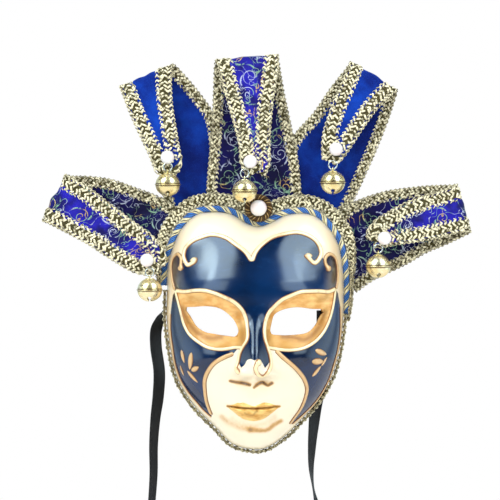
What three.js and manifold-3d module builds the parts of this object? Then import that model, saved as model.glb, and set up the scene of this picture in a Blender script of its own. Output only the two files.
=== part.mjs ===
// Jester mask: a hollow lacquered face with five folded cloth petals, braid, bells, pearls and ribbons.
// Millimetres, +Z up, the face looks along -Y. The origin is the middle of the open back, at eye level.

import * as THREE from 'three';
import { mergeVertices } from 'three/addons/utils/BufferGeometryUtils.js';
import Module from 'manifold-3d';

const wasm = await Module();
wasm.setup();

// Face: width over the cheeks, height from the forehead lobes to the chin, depth of the plain dome
const FACE_WIDTH = 152;
const FACE_HEIGHT = 205;
const FACE_DEPTH = 56;
const SHELL_WALL = 2.4;
const NOSE_RISE = 21;
const BROW_RISE = 4;
const SOCKET_SINK = 9;
const CHEEK_RISE = 4;
const MUZZLE_RISE = 5;
const CHIN_RISE = 5;
const LIP_RISE = 3.2;
const LINE_WIDTH = 2.8;
const LINE_RISE = 1.1;

// Clearance between neighbours that touch on the real mask
const CLEAR = 0.4;

// Braids and cord round the face
const CORD_DIAMETER = 5.6;
const TOP_BRAID_WIDTH = 10.5;
const TOP_BRAID_THICKNESS = 3;
const CHIN_BRAID_DEPTH = 9;
const CHIN_BRAID_THICKNESS = 4;

// Petals: length from root to fold, width at the fold, and how far the fold leans forward
const CENTRE_LENGTH = 130;
const CENTRE_WIDTH = 58;
const VELVET_LENGTH = 132;
const VELVET_WIDTH = 50;
const FAR_LENGTH = 111;
const FAR_WIDTH = 51;
const FIRST_LEAN = 16;
const SECOND_LEAN = 10;
const FOLD_RADIUS = 5;
const CLOTH = 1.8;
const BACK_TRIM_WIDTH = 8.5;
const FLAP_TRIM_WIDTH = 12.2;
const TRIM_THICKNESS = 3;

// Beads, rings and bells
const PEARL_DIAMETER = 11.6;
const RING_DIAMETER = 8.4;
const RING_WIRE = 1.2;
const BELL_DIAMETER = 22.4;
const BELL_HEIGHT = 20;
const BELL_WALL = 0.9;
const BELL_FLANGE = 0.7;
const BELL_LIP = 0.6;
const BELL_SLOT = 1.8;
const LOOP_WIRE = 1;
const ROSETTE_DIAMETER = 24.6;
const ROSETTE_BRAID = 5.6;
const ROSETTE_PEARL_DIAMETER = 14;

// Ribbons
const RIBBON_WIDTH = 10;
const RIBBON_THICKNESS = 1;
const RIBBON_DROP = 162;

const HALF_WIDTH = FACE_WIDTH / 2;
const FACE_CENTRE = -0.04 * FACE_HEIGHT;
const NOSE_TIP = -0.21 * FACE_HEIGHT;

// The face's edge in the rim plane, clockwise from the left temple: x in half widths, z in face heights
const OUTLINE = [
  { x: -0.990, z: 0.134 }, { x: -0.975, z: 0.235 }, { x: -0.93, z: 0.294 }, { x: -0.83, z: 0.378 },
  { x: -0.66, z: 0.440 }, { x: -0.48, z: 0.453 }, { x: -0.28, z: 0.445 }, { x: -0.07, z: 0.402 },
  { x: 0.034, z: 0.391 }, { x: 0.153, z: 0.402 }, { x: 0.353, z: 0.438 }, { x: 0.48, z: 0.446 },
  { x: 0.605, z: 0.444 }, { x: 0.74, z: 0.421 }, { x: 0.91, z: 0.345 }, { x: 0.987, z: 0.243 },
  { x: 1.007, z: 0.0755 }, { x: 0.994, z: -0.045 }, { x: 0.903, z: -0.208 }, { x: 0.738, z: -0.330 },
  { x: 0.515, z: -0.424 }, { x: 0.345, z: -0.487 }, { x: 0.127, z: -0.537 }, { x: -0.017, z: -0.543 },
  { x: -0.249, z: -0.520 }, { x: -0.447, z: -0.449 }, { x: -0.673, z: -0.364 }, { x: -0.866, z: -0.252 },
  { x: -0.962, z: -0.105 }, { x: -0.996, z: 0.021 },
];

// Soft forms of the face: middle x in half widths and z in face heights, spread in the same shares
const FORMS = [
  { x: 0.42, z: 0.145, acrossSpread: 0.34, upSpread: 0.040, rise: BROW_RISE },
  { x: 0.46, z: 0.000, acrossSpread: 0.28, upSpread: 0.070, rise: -SOCKET_SINK },
  { x: 0.50, z: -0.150, acrossSpread: 0.26, upSpread: 0.070, rise: CHEEK_RISE },
  { x: 0.12, z: -0.345, acrossSpread: 0.30, upSpread: 0.070, rise: MUZZLE_RISE / 2 },
  { x: 0.08, z: -0.455, acrossSpread: 0.20, upSpread: 0.040, rise: CHIN_RISE / 2 },
  { x: 0.17, z: -0.200, acrossSpread: 0.07, upSpread: 0.022, rise: NOSE_RISE / 3 },
];

// One eye hole, and the raised lines of one half of the face, both mirrored: shares as in OUTLINE
const EYE_HOLE = [
  { x: 0.78, z: 0.050 }, { x: 0.65, z: 0.057 }, { x: 0.50, z: 0.062 }, { x: 0.36, z: 0.052 },
  { x: 0.25, z: 0.029 }, { x: 0.20, z: -0.003 }, { x: 0.185, z: -0.044 }, { x: 0.24, z: -0.056 },
  { x: 0.44, z: -0.051 }, { x: 0.57, z: -0.043 }, { x: 0.66, z: -0.018 }, { x: 0.725, z: 0.018 },
];
const RAISED_LINES = {
  heart: [
    { x: 0.00, z: 0.255 }, { x: 0.06, z: 0.290 }, { x: 0.18, z: 0.330 }, { x: 0.32, z: 0.353 },
    { x: 0.48, z: 0.362 }, { x: 0.62, z: 0.348 }, { x: 0.71, z: 0.320 }, { x: 0.76, z: 0.275 },
    { x: 0.72, z: 0.238 }, { x: 0.65, z: 0.250 },
  ],
  brow: [
    { x: 0.88, z: 0.130 }, { x: 0.74, z: 0.123 }, { x: 0.58, z: 0.126 }, { x: 0.44, z: 0.117 },
    { x: 0.30, z: 0.094 }, { x: 0.19, z: 0.055 }, { x: 0.12, z: 0.005 }, { x: 0.105, z: -0.064 },
    { x: 0.15, z: -0.115 }, { x: 0.185, z: -0.175 },
  ],
  underEye: [
    { x: 0.84, z: 0.060 }, { x: 0.78, z: -0.010 }, { x: 0.68, z: -0.072 }, { x: 0.53, z: -0.106 },
    { x: 0.40, z: -0.113 }, { x: 0.24, z: -0.118 },
  ],
  cheek: [
    { x: 0.30, z: -0.136 }, { x: 0.43, z: -0.172 }, { x: 0.52, z: -0.215 }, { x: 0.565, z: -0.275 },
    { x: 0.55, z: -0.325 }, { x: 0.50, z: -0.378 },
  ],
};

// Lips: half rows from the middle of the mouth to its corner, upper edge, parting and lower edge
const MOUTH = [
  { x: 0.00, top: -0.345, part: -0.353, bottom: -0.404 },
  { x: 0.11, top: -0.328, part: -0.352, bottom: -0.400 },
  { x: 0.21, top: -0.338, part: -0.348, bottom: -0.375 },
  { x: 0.29, top: -0.343, part: -0.345, bottom: -0.348 },
];

// Petals. root: x in half widths, z in face heights. lean: degrees clockwise from straight up, and
// foldLean: the same for the square to the fold, which is creased a little out of square.
// Rows run up the back strip to the fold, then down the flap to the tip: along in lengths from the
// root, left and right edges in widths either side of the petal's own centre line.
const PETALS = [
  {
    name: 'far_left', cloth: 'brocade', root: { x: -0.957, z: 0.315 }, lean: -70, foldLean: -62,
    length: FAR_LENGTH, width: FAR_WIDTH, layer: 0, leanOut: FIRST_LEAN,
    back: [
      { along: 0.06, left: -0.38, right: 0.62 }, { along: 0.235, left: -0.41, right: 0.70 },
      { along: 0.47, left: -0.42, right: 0.71 }, { along: 0.67, left: -0.41, right: 0.70 },
      { along: 0.83, left: -0.39, right: 0.62 }, { along: 0.95, left: -0.36, right: 0.53 },
    ],
    flap: [
      { along: 0.96, left: -0.34, right: 0.50 }, { along: 0.80, left: -0.39, right: 0.45 },
      { along: 0.58, left: -0.46, right: 0.31 }, { along: 0.375, left: -0.56, right: 0.18 },
      { along: 0.15, left: -0.64, right: 0.04 }, { along: 0.056, left: -0.60, right: -0.08 },
      { along: 0.02, left: -0.52, right: -0.24 },
    ],
    pearl: { along: 0.10, side: -0.37 }, ring: { along: 0.035, side: -0.55 },
  },
  {
    name: 'left', cloth: 'velvet', root: { x: -0.73, z: 0.428 }, lean: -21, foldLean: -23,
    length: VELVET_LENGTH, width: VELVET_WIDTH, layer: 1, leanOut: SECOND_LEAN,
    back: [
      { along: 0.05, left: -0.38, right: 0.62 }, { along: 0.20, left: -0.30, right: 0.76 },
      { along: 0.38, left: -0.22, right: 0.93 }, { along: 0.57, left: -0.22, right: 1.02 },
      { along: 0.74, left: -0.24, right: 0.93 }, { along: 0.95, left: -0.31, right: 0.74 },
    ],
    flap: [
      { along: 0.96, left: -0.31, right: 0.60 }, { along: 0.77, left: -0.31, right: 0.43 },
      { along: 0.59, left: -0.28, right: 0.33 }, { along: 0.475, left: -0.26, right: 0.27 },
      { along: 0.38, left: -0.26, right: 0.22 }, { along: 0.353, left: -0.17, right: 0.08 },
    ],
    pearl: { along: 0.43, side: 0.02 }, ring: { along: 0.37, side: -0.035 },
  },
  {
    name: 'centre', cloth: 'brocade', root: { x: -0.03, z: 0.482 }, lean: -5, foldLean: -5,
    length: CENTRE_LENGTH, width: CENTRE_WIDTH, layer: 0, leanOut: FIRST_LEAN,
    back: [
      { along: -0.04, left: -0.70, right: 0.74 }, { along: 0.26, left: -0.60, right: 0.74 },
      { along: 0.515, left: -0.50, right: 0.68 }, { along: 0.78, left: -0.42, right: 0.61 },
      { along: 0.96, left: -0.37, right: 0.58 },
    ],
    flap: [
      { along: 0.96, left: -0.31, right: 0.57 }, { along: 0.80, left: -0.26, right: 0.50 },
      { along: 0.685, left: -0.21, right: 0.44 }, { along: 0.535, left: -0.15, right: 0.38 },
      { along: 0.40, left: -0.11, right: 0.34 }, { along: 0.28, left: -0.11, right: 0.32 },
      { along: 0.215, left: -0.03, right: 0.24 },
    ],
    pearl: { along: 0.291, side: 0.03 }, ring: { along: 0.215, side: -0.065 },
  },
  {
    name: 'right', cloth: 'velvet', root: { x: 0.764, z: 0.428 }, lean: 28, foldLean: 32,
    length: VELVET_LENGTH, width: VELVET_WIDTH, layer: 1, leanOut: SECOND_LEAN,
    back: [
      { along: 0.05, left: -0.88, right: 0.34 }, { along: 0.21, left: -1.04, right: 0.34 },
      { along: 0.355, left: -1.10, right: 0.32 }, { along: 0.57, left: -0.98, right: 0.28 },
      { along: 0.775, left: -0.92, right: 0.22 }, { along: 0.95, left: -0.84, right: 0.14 },
    ],
    flap: [
      { along: 0.96, left: -0.82, right: 0.06 }, { along: 0.81, left: -0.79, right: -0.05 },
      { along: 0.63, left: -0.74, right: -0.11 }, { along: 0.495, left: -0.67, right: -0.14 },
      { along: 0.40, left: -0.55, right: -0.18 }, { along: 0.345, left: -0.42, right: -0.28 },
    ],
    pearl: { along: 0.437, side: -0.35 }, ring: { along: 0.337, side: -0.27 },
  },
  {
    name: 'far_right', cloth: 'brocade', root: { x: 1.024, z: 0.294 }, lean: 74, foldLean: 74,
    length: FAR_LENGTH, width: FAR_WIDTH, layer: 0, leanOut: FIRST_LEAN,
    back: [
      { along: -0.02, left: -0.58, right: 0.74 }, { along: 0.15, left: -0.72, right: 0.62 },
      { along: 0.43, left: -0.76, right: 0.52 }, { along: 0.62, left: -0.71, right: 0.42 },
      { along: 0.78, left: -0.65, right: 0.38 }, { along: 0.95, left: -0.56, right: 0.32 },
    ],
    flap: [
      { along: 0.96, left: -0.52, right: 0.25 }, { along: 0.75, left: -0.51, right: 0.23 },
      { along: 0.58, left: -0.49, right: 0.20 }, { along: 0.41, left: -0.41, right: 0.15 },
      { along: 0.29, left: -0.32, right: 0.13 }, { along: 0.245, left: -0.14, right: 0.10 },
    ],
    pearl: { along: 0.322, side: -0.01 }, ring: { along: 0.253, side: 0.13 },
  },
];

// Where cord and braids end, in degrees clockwise from straight up about the face's centre
const CORD_SPAN = { from: -63, to: 87 };
const TOP_BRAID_SPAN = { from: -64, to: 88 };
const CHIN_BRAID_SPAN = { from: 90, to: 294 };

// Ribbon centre lines: x in half widths, z in drops below the eyes, y in millimetres
const RIBBON_LEFT = [
  { x: -1.03, z: 0.050, stand: -0.4, turn: 90 }, { x: -1.075, z: 0.000, stand: 0.6, turn: 40 },
  { x: -1.12, z: -0.075, stand: 2.2, turn: 5 }, { x: -1.115, z: -0.150, stand: 2.2, turn: 0 },
  { x: -1.08, z: -0.270, stand: 2.2, turn: 0 }, { x: -1.09, z: -0.400, stand: 2.2, turn: 15 },
  { x: -1.125, z: -0.530, stand: 2.2, turn: 35 }, { x: -1.145, z: -0.670, stand: 2.2, turn: 45 },
  { x: -1.145, z: -0.820, stand: 2.2, turn: 50 }, { x: -1.17, z: -1.000, stand: 2.2, turn: 55 },
];
const RIBBON_RIGHT = [
  { x: 0.975, z: 0.015, stand: 0.0, turn: 80 }, { x: 0.930, z: -0.060, stand: 0.2, turn: 30 },
  { x: 0.870, z: -0.160, stand: 0.6, turn: 10 }, { x: 0.780, z: -0.300, stand: 0.6, turn: 0 },
  { x: 0.710, z: -0.430, stand: 1.6, turn: 0 }, { x: 0.665, z: -0.600, stand: 1.6, turn: 35 },
  { x: 0.650, z: -0.700, stand: 1.6, turn: 50 }, { x: 0.645, z: -0.790, stand: 1.6, turn: 65 },
  { x: 0.670, z: -0.900, stand: 1.6, turn: 82 }, { x: 0.715, z: -1.000, stand: 1.6, turn: 60 },
];

function finish(color, roughness, metalness) {
  return new THREE.MeshStandardMaterial({ color, roughness, metalness });
}
const FINISHES = {
  lacquer: finish('#f6eed6', 0.22, 0),
  cord: finish('#1f4fae', 0.5, 0.1),
  braid: finish('#b5a968', 0.45, 0.6),
  velvet: finish('#12329a', 0.9, 0),
  brocade: finish('#2a1f9c', 0.5, 0.1),
  pearl: finish('#fbf6f2', 0.2, 0),
  silver: finish('#e6e4dc', 0.2, 1),
  bell: finish('#e8d28c', 0.2, 1),
  rosette: finish('#5c4420', 0.5, 0.5),
  satin: finish('#0a0a0c', 0.35, 0),
};

const mask = new THREE.Group();
function addPiece(name, geometry, material) {
  const mesh = new THREE.Mesh(geometry, material);
  mesh.name = name;
  mask.add(mesh);
  return mesh;
}

// A closed mesh from points and triangles, turned inside out if its volume comes out negative
function closedGeometry(points, triangles) {
  let volume = 0;
  for (const [a, b, c] of triangles) volume += points[a].dot(points[b].clone().cross(points[c]));
  const faces = volume < 0 ? triangles.map(([a, b, c]) => [a, c, b]) : triangles;
  const geometry = new THREE.BufferGeometry();
  geometry.setFromPoints(points);
  geometry.setIndex(faces.flat());
  return geometry;
}

// A solid lofted through sections with the same number of corners, with flat ends
function loft(sections) {
  const corners = sections[0].length;
  const points = sections.flat();
  const triangles = [];
  for (let i = 0; i + 1 < sections.length; i += 1) {
    for (let j = 0; j < corners; j += 1) {
      const a = i * corners + j;
      const b = i * corners + ((j + 1) % corners);
      triangles.push([a, b, b + corners], [a, b + corners, a + corners]);
    }
  }
  const last = (sections.length - 1) * corners;
  for (let j = 1; j + 1 < corners; j += 1) {
    triangles.push([0, j + 1, j], [last, last + j, last + j + 1]);
  }
  return closedGeometry(points, triangles);
}

// Four corners of a flat band's section: its middle, its width direction and its thickness direction
function bandSection(middle, across, up, width, thickness) {
  return [[-1, -1], [1, -1], [1, 1], [-1, 1]].map(([s, t]) => middle.clone()
    .addScaledVector(across, (s * width) / 2).addScaledVector(up, (t * thickness) / 2));
}

function toManifold(source) {
  const bare = source.clone();
  bare.deleteAttribute('normal');
  bare.deleteAttribute('uv');
  const merged = mergeVertices(bare, 1e-4);
  return new wasm.Manifold(new wasm.Mesh({
    numProp: 3,
    vertProperties: new Float32Array(merged.attributes.position.array),
    triVerts: new Uint32Array(merged.index.array),
  }));
}

function fromManifold(solid) {
  const mesh = solid.getMesh();
  const geometry = new THREE.BufferGeometry();
  geometry.setAttribute('position', new THREE.BufferAttribute(new Float32Array(mesh.vertProperties), 3));
  geometry.setIndex([...mesh.triVerts]);
  return geometry;
}

// The face's edge as a distance from a point inside it for each angle, from a smooth closed curve
const edgeCurve = new THREE.CatmullRomCurve3(
  OUTLINE.map(({ x, z }) => new THREE.Vector3(x * HALF_WIDTH, 0, z * FACE_HEIGHT)), true, 'centripetal',
);
function samplesAbout(centre) {
  return edgeCurve.getPoints(900).map((point) => ({
    angle: Math.atan2(point.x, point.z - centre),
    reach: Math.hypot(point.x, point.z - centre),
  })).sort((a, b) => a.angle - b.angle);
}
const ABOUT_FACE = samplesAbout(FACE_CENTRE);
const ABOUT_NOSE = samplesAbout(NOSE_TIP);

function edgeReach(angle, samples = ABOUT_FACE) {
  const turned = Math.atan2(Math.sin(angle), Math.cos(angle));
  const above = samples.findIndex((sample) => sample.angle > turned);
  const after = samples[above < 0 ? 0 : above];
  const before = samples[above <= 0 ? samples.length - 1 : above - 1];
  const step = (after.angle - before.angle + 2 * Math.PI) % (2 * Math.PI);
  const past = (turned - before.angle + 2 * Math.PI) % (2 * Math.PI);
  return before.reach + (after.reach - before.reach) * (step > 0 ? past / step : 0);
}

// A point of the edge moved outwards in the rim plane, with the outward direction there
function edgePoint(angle, outwards = 0) {
  const at = (a) => new THREE.Vector3(Math.sin(a) * edgeReach(a), 0, FACE_CENTRE + Math.cos(a) * edgeReach(a));
  const tangent = at(angle + 0.03).sub(at(angle - 0.03)).normalize();
  const outward = new THREE.Vector3(-tangent.z, 0, tangent.x);
  return { point: at(angle).addScaledVector(outward, outwards), outward, tangent };
}

function smoothStep(low, high, value) {
  const share = THREE.MathUtils.clamp((value - low) / (high - low), 0, 1);
  return share * share * (3 - 2 * share);
}

// Forward height of the face over the rim plane: an elliptic dome, the soft forms and the nose.
// inset is how far inside the outer surface the wanted surface lies.
function faceHeight(x, z, inset = 0) {
  const angle = Math.atan2(x, z - FACE_CENTRE);
  const share = Math.hypot(x, z - FACE_CENTRE) / (edgeReach(angle) - inset);
  const dome = (FACE_DEPTH - inset) * Math.sqrt(Math.max(0, 1 - share ** 2.5));
  const across = x / HALF_WIDTH;
  const up = z / FACE_HEIGHT;
  let forms = 0;
  for (const form of FORMS) {
    for (const side of [-1, 1]) {
      const a = (across - side * form.x) / form.acrossSpread;
      const b = (up - form.z) / form.upSpread;
      forms += form.rise * Math.exp(-a * a - b * b);
    }
  }
  const noseLength = smoothStep(-0.245, -0.205, up) * smoothStep(0.16, -0.20, up);
  const noseHalf = 0.10 + 0.07 * smoothStep(0.05, -0.2, up);
  const nose = NOSE_RISE * noseLength * Math.exp(-((across / noseHalf) ** 2));
  return dome + (forms + nose) * smoothStep(1, 0.82, share);
}

// Outward direction of the face's outer surface
function faceNormal(x, z) {
  const slopeX = (faceHeight(x + 0.5, z) - faceHeight(x - 0.5, z));
  const slopeZ = (faceHeight(x, z + 0.5) - faceHeight(x, z - 0.5));
  return new THREE.Vector3(-slopeX, -1, -slopeZ).normalize();
}

// Hollow face: outer and inner surfaces on spokes and rings about the nose, joined by the flat rim
const SPOKES = 44;
const OUTER_RINGS = [0.04, 0.08, 0.13, 0.18, 0.24, 0.31, 0.38, 0.46, 0.55, 0.65, 0.76, 0.87, 0.955, 1];
const INNER_RINGS = [0.07, 0.14, 0.22, 0.32, 0.45, 0.60, 0.76, 0.88, 0.96, 1];

function faceShellBody() {
  const points = [];
  const triangles = [];
  const rims = [];
  for (const { inset, rings } of [{ inset: 0, rings: OUTER_RINGS }, { inset: SHELL_WALL, rings: INNER_RINGS }]) {
    const first = points.length;
    points.push(new THREE.Vector3(0, -faceHeight(0, NOSE_TIP, inset), NOSE_TIP));
    for (const share of rings) {
      for (let i = 0; i < SPOKES; i += 1) {
        const angle = (i / SPOKES) * 2 * Math.PI;
        const reach = (edgeReach(angle, ABOUT_NOSE) - inset) * share;
        const x = Math.sin(angle) * reach;
        const z = NOSE_TIP + Math.cos(angle) * reach;
        points.push(new THREE.Vector3(x, share === 1 ? 0 : -faceHeight(x, z, inset), z));
      }
    }
    rims.push(points.length - SPOKES);
    const turn = (triangle) => (inset > 0 ? [triangle[0], triangle[2], triangle[1]] : triangle);
    for (let i = 0; i < SPOKES; i += 1) {
      const next = (i + 1) % SPOKES;
      triangles.push(turn([first, first + 1 + i, first + 1 + next]));
      for (let ring = 0; ring + 1 < rings.length; ring += 1) {
        const a = first + 1 + ring * SPOKES + i;
        const b = first + 1 + ring * SPOKES + next;
        triangles.push(turn([a, a + SPOKES, b + SPOKES]), turn([a, b + SPOKES, b]));
      }
    }
  }
  for (let i = 0; i < SPOKES; i += 1) {
    const next = (i + 1) % SPOKES;
    const [outer, inner] = rims;
    triangles.push([outer + i, inner + i, inner + next], [outer + i, inner + next, outer + next]);
  }
  return closedGeometry(points, triangles);
}

// A raised line that follows the outer surface, sunk into the wall so that it is one with it
function raisedLine(rows, side) {
  const flat = new THREE.CatmullRomCurve3(rows.map(({ x, z }) => (
    new THREE.Vector3(side * x * HALF_WIDTH, 0, z * FACE_HEIGHT))), false, 'centripetal');
  const steps = Math.round(rows.length * 1.3);
  const sink = SHELL_WALL * 0.45;
  const sections = [];
  for (let i = 0; i <= steps; i += 1) {
    const spot = flat.getPoint(i / steps);
    const direction = flat.getTangent(i / steps);
    const normal = faceNormal(spot.x, spot.z);
    const across = direction.clone().cross(normal).normalize();
    const base = new THREE.Vector3(spot.x, -faceHeight(spot.x, spot.z), spot.z);
    sections.push([[-0.5, -sink], [0.5, -sink], [0.22, LINE_RISE], [-0.22, LINE_RISE]].map(([a, b]) => (
      base.clone().addScaledVector(across, a * LINE_WIDTH).addScaledVector(normal, b))));
  }
  return loft(sections);
}

// Upper or lower lip: a lens whose ridge stands LIP_RISE over the face
function lip(upperEdge, lowerEdge) {
  const rows = [...MOUTH.slice(1).reverse().map((row) => ({ ...row, x: -row.x })), ...MOUTH];
  const sections = rows.map((row) => {
    const x = row.x * HALF_WIDTH;
    const ends = [row[upperEdge] * FACE_HEIGHT, row[lowerEdge] * FACE_HEIGHT];
    const fullness = 1 - Math.abs(row.x) / (MOUTH.at(-1).x * 1.08);
    const middle = (ends[0] + ends[1]) / 2;
    const spot = (z, rise) => new THREE.Vector3(x, -faceHeight(x, z) - rise, z);
    const sink = -SHELL_WALL * 0.45;
    return [spot(ends[0], sink), spot(middle, LIP_RISE * fullness), spot(ends[1], sink)];
  });
  return loft(sections);
}

// A cutter that runs straight through the shell, with the eye hole's outline
function eyeCutter(side) {
  const hole = new THREE.CatmullRomCurve3(EYE_HOLE.map(({ x, z }) => (
    new THREE.Vector3(side * x * HALF_WIDTH, 0, z * FACE_HEIGHT))), true, 'centripetal');
  const shape = new THREE.Shape(hole.getPoints(20).slice(0, -1).map(({ x, z }) => new THREE.Vector2(x, z)));
  const cutter = new THREE.ExtrudeGeometry(shape, { depth: 2 * FACE_DEPTH, bevelEnabled: false });
  return cutter.rotateX(Math.PI / 2);
}

function faceShell() {
  let shell = toManifold(faceShellBody());
  for (const side of [-1, 1]) {
    for (const line of Object.values(RAISED_LINES)) shell = shell.add(toManifold(raisedLine(line, side)));
  }
  shell = shell.add(toManifold(lip('top', 'part'))).add(toManifold(lip('part', 'bottom')));
  for (const side of [-1, 1]) shell = shell.subtract(toManifold(eyeCutter(side)));
  return fromManifold(shell);
}
addPiece('face_shell', faceShell(), FINISHES.lacquer);

// A run of the face's edge moved outwards, with stand as its distance in front of the rim plane
function edgeRun(span, steps, outwards, stand) {
  const spots = [];
  for (let i = 0; i <= steps; i += 1) {
    const angle = THREE.MathUtils.degToRad(span.from + ((span.to - span.from) * i) / steps);
    const spot = edgePoint(angle, outwards);
    spots.push({ ...spot, point: spot.point.setY(-stand), share: i / steps });
  }
  return spots;
}

// The cord lies against the face, and the top braid against the cord, in front of the petals' roots
const CORD_OFFSET = 2 * CLEAR + CORD_DIAMETER / 2;
const CORD_STAND = CORD_DIAMETER / 2 + CLEAR;
const TOP_BRAID_OFFSET = CORD_OFFSET + CORD_DIAMETER / 2 + CLEAR + TOP_BRAID_WIDTH / 2;
const TOP_BRAID_STAND = TOP_BRAID_THICKNESS / 2 + 2 * CLEAR;

function edgeCord() {
  const route = new THREE.CatmullRomCurve3(
    edgeRun(CORD_SPAN, 50, CORD_OFFSET, CORD_STAND).map(({ point }) => point),
  );
  const section = new THREE.Shape();
  section.absarc(0, 0, CORD_DIAMETER / 2, 0, 2 * Math.PI, false);
  return new THREE.ExtrudeGeometry(section, {
    extrudePath: route, steps: 52, curveSegments: 3, bevelEnabled: false,
  });
}
addPiece('edge_cord', edgeCord(), FINISHES.cord);

function topBraid() {
  const forward = new THREE.Vector3(0, -1, 0);
  return loft(edgeRun(TOP_BRAID_SPAN, 36, TOP_BRAID_OFFSET, TOP_BRAID_STAND).map(({ point, outward }) => (
    bandSection(point, outward, forward, TOP_BRAID_WIDTH, TOP_BRAID_THICKNESS))));
}
addPiece('face_braid_top', topBraid(), FINISHES.braid);

function chinBraid() {
  const forward = new THREE.Vector3(0, -1, 0);
  const offset = 1.5 * CLEAR + CHIN_BRAID_THICKNESS / 2;
  return loft(edgeRun(CHIN_BRAID_SPAN, 32, offset, CHIN_BRAID_DEPTH / 2 + CLEAR).map(({ point, outward }) => (
    bandSection(point, forward, outward, CHIN_BRAID_DEPTH, CHIN_BRAID_THICKNESS))));
}
addPiece('face_braid_chin', chinBraid(), FINISHES.braid);

// Rosette over the dip of the forehead, in front of the cord and the top braid
const ROSETTE_SEAT = Math.max(CORD_STAND + CORD_DIAMETER / 2, TOP_BRAID_STAND + TOP_BRAID_THICKNESS / 2);
const ROSETTE_STAND = ROSETTE_SEAT + ROSETTE_BRAID / 2;
const ROSETTE_SPOT = edgePoint(THREE.MathUtils.degToRad(-0.5), CORD_OFFSET + ROSETTE_DIAMETER / 2)
  .point;

function rosetteBraid() {
  const round = new THREE.TorusGeometry((ROSETTE_DIAMETER - ROSETTE_BRAID) / 2, ROSETTE_BRAID / 2, 8, 16);
  return round.rotateX(Math.PI / 2);
}
addPiece('rosette_braid', rosetteBraid(), FINISHES.rosette)
  .position.set(ROSETTE_SPOT.x, -ROSETTE_STAND, ROSETTE_SPOT.z);
addPiece('rosette_pearl', new THREE.SphereGeometry(ROSETTE_PEARL_DIAMETER / 2, 12, 8), FINISHES.pearl)
  .position.set(ROSETTE_SPOT.x, -ROSETTE_SEAT - ROSETTE_PEARL_DIAMETER / 2, ROSETTE_SPOT.z);

// How far in front of the rim plane each petal's tip stands, so that its bell clears what is behind it
const RING_FORWARD = TRIM_THICKNESS / 2 + 1.5 * CLEAR + RING_WIRE / 2;
const TIP_STAND = BELL_DIAMETER / 2 + TRIM_THICKNESS;
const CENTRE_TIP_STAND = ROSETTE_STAND + ROSETTE_BRAID / 2 + BELL_DIAMETER / 2 - RING_FORWARD;

// Stations of a petal from root over the fold to tip, each with its edges, its place and its thickness
// direction. Rows are shares, so a longer or wider petal keeps its shape.
function petalStations(petal) {
  const lean = THREE.MathUtils.degToRad(petal.lean);
  const upAxis = new THREE.Vector3(Math.sin(lean), 0, Math.cos(lean));
  const foldLean = THREE.MathUtils.degToRad(petal.foldLean);
  const sideAxis = new THREE.Vector3(Math.cos(foldLean), 0, -Math.sin(foldLean));
  const root = new THREE.Vector3(petal.root.x * HALF_WIDTH, 0, petal.root.z * FACE_HEIGHT);
  const layerStand = TRIM_THICKNESS / 2 + CLEAR + petal.layer * (TRIM_THICKNESS + CLEAR);
  const straight = petal.length - FOLD_RADIUS;
  const tipStand = petal.name === 'centre' ? CENTRE_TIP_STAND : TIP_STAND;
  const depthAtBack = (share) => layerStand - petal.leanOut * Math.max(0, share) ** 2;
  const foldBack = depthAtBack(petal.back.at(-1).along);
  const foldFront = foldBack - 2 * FOLD_RADIUS;
  const rows = petal.back.map((row) => ({ ...row, along: row.along * straight, y: depthAtBack(row.along) }));
  const lastBack = petal.back.at(-1);
  const firstFlap = petal.flap[0];
  for (const turn of [0.25, 0.5, 0.75]) {
    const angle = turn * Math.PI;
    rows.push({
      along: (lastBack.along + (firstFlap.along - lastBack.along) * turn) * straight + FOLD_RADIUS * Math.sin(angle),
      left: lastBack.left + (firstFlap.left - lastBack.left) * turn,
      right: lastBack.right + (firstFlap.right - lastBack.right) * turn,
      y: foldBack - FOLD_RADIUS * (1 - Math.cos(angle)),
    });
  }
  const tipAlong = petal.flap.at(-1).along;
  for (const row of petal.flap) {
    const down = (firstFlap.along - row.along) / (firstFlap.along - tipAlong);
    rows.push({ ...row, along: row.along * straight, y: foldFront + (-tipStand - foldFront) * down });
  }
  const lastBackIndex = petal.back.length - 1;
  return rows.map((row, i) => {
    const before = rows[Math.max(0, i - 1)];
    const after = rows[Math.min(rows.length - 1, i + 1)];
    const run = Math.hypot(after.along - before.along, after.y - before.y);
    const path = { along: (after.along - before.along) / run, y: (after.y - before.y) / run };
    const place = (side, lift = 0) => root.clone()
      .addScaledVector(upAxis, row.along - lift * path.y)
      .addScaledVector(sideAxis, side)
      .add(new THREE.Vector3(0, row.y + lift * path.along, 0));
    const slant = (edge) => Math.min(1.35, Math.hypot(1, ((after[edge] - before[edge]) * petal.width) / run));
    const overFold = THREE.MathUtils.clamp((i - lastBackIndex) / 4, 0, 1);
    const trim = THREE.MathUtils.lerp(BACK_TRIM_WIDTH, FLAP_TRIM_WIDTH, overFold);
    return {
      flap: overFold === 1,
      left: row.left * petal.width,
      right: row.right * petal.width,
      leftTrim: trim * slant('left'),
      rightTrim: trim * slant('right'),
      place,
    };
  });
}

// A strip between two sides at each station, centred on the cloth's own surface
function strip(stations, thickness, sidesOf) {
  return loft(stations.map((station) => {
    const [low, high] = sidesOf(station);
    const half = thickness / 2;
    return [station.place(low, -half), station.place(high, -half), station.place(high, half), station.place(low, half)];
  }));
}

// The first station of the flap where the two trims leave no cloth between them
function trimsMeet(stations) {
  const meet = stations.findIndex((s) => s.flap && s.right - s.left < s.leftTrim + s.rightTrim + 5 * CLEAR);
  return meet < 0 ? stations.length - 2 : Math.min(meet, stations.length - 2);
}

// Cloth between the trims, down to where the two trims of the flap meet
function petalCloth(stations) {
  const shown = stations.slice(0, trimsMeet(stations));
  return strip(shown, CLOTH, (s) => [s.left + s.leftTrim + 2 * CLEAR, s.right - s.rightTrim - 2 * CLEAR]);
}

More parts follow.
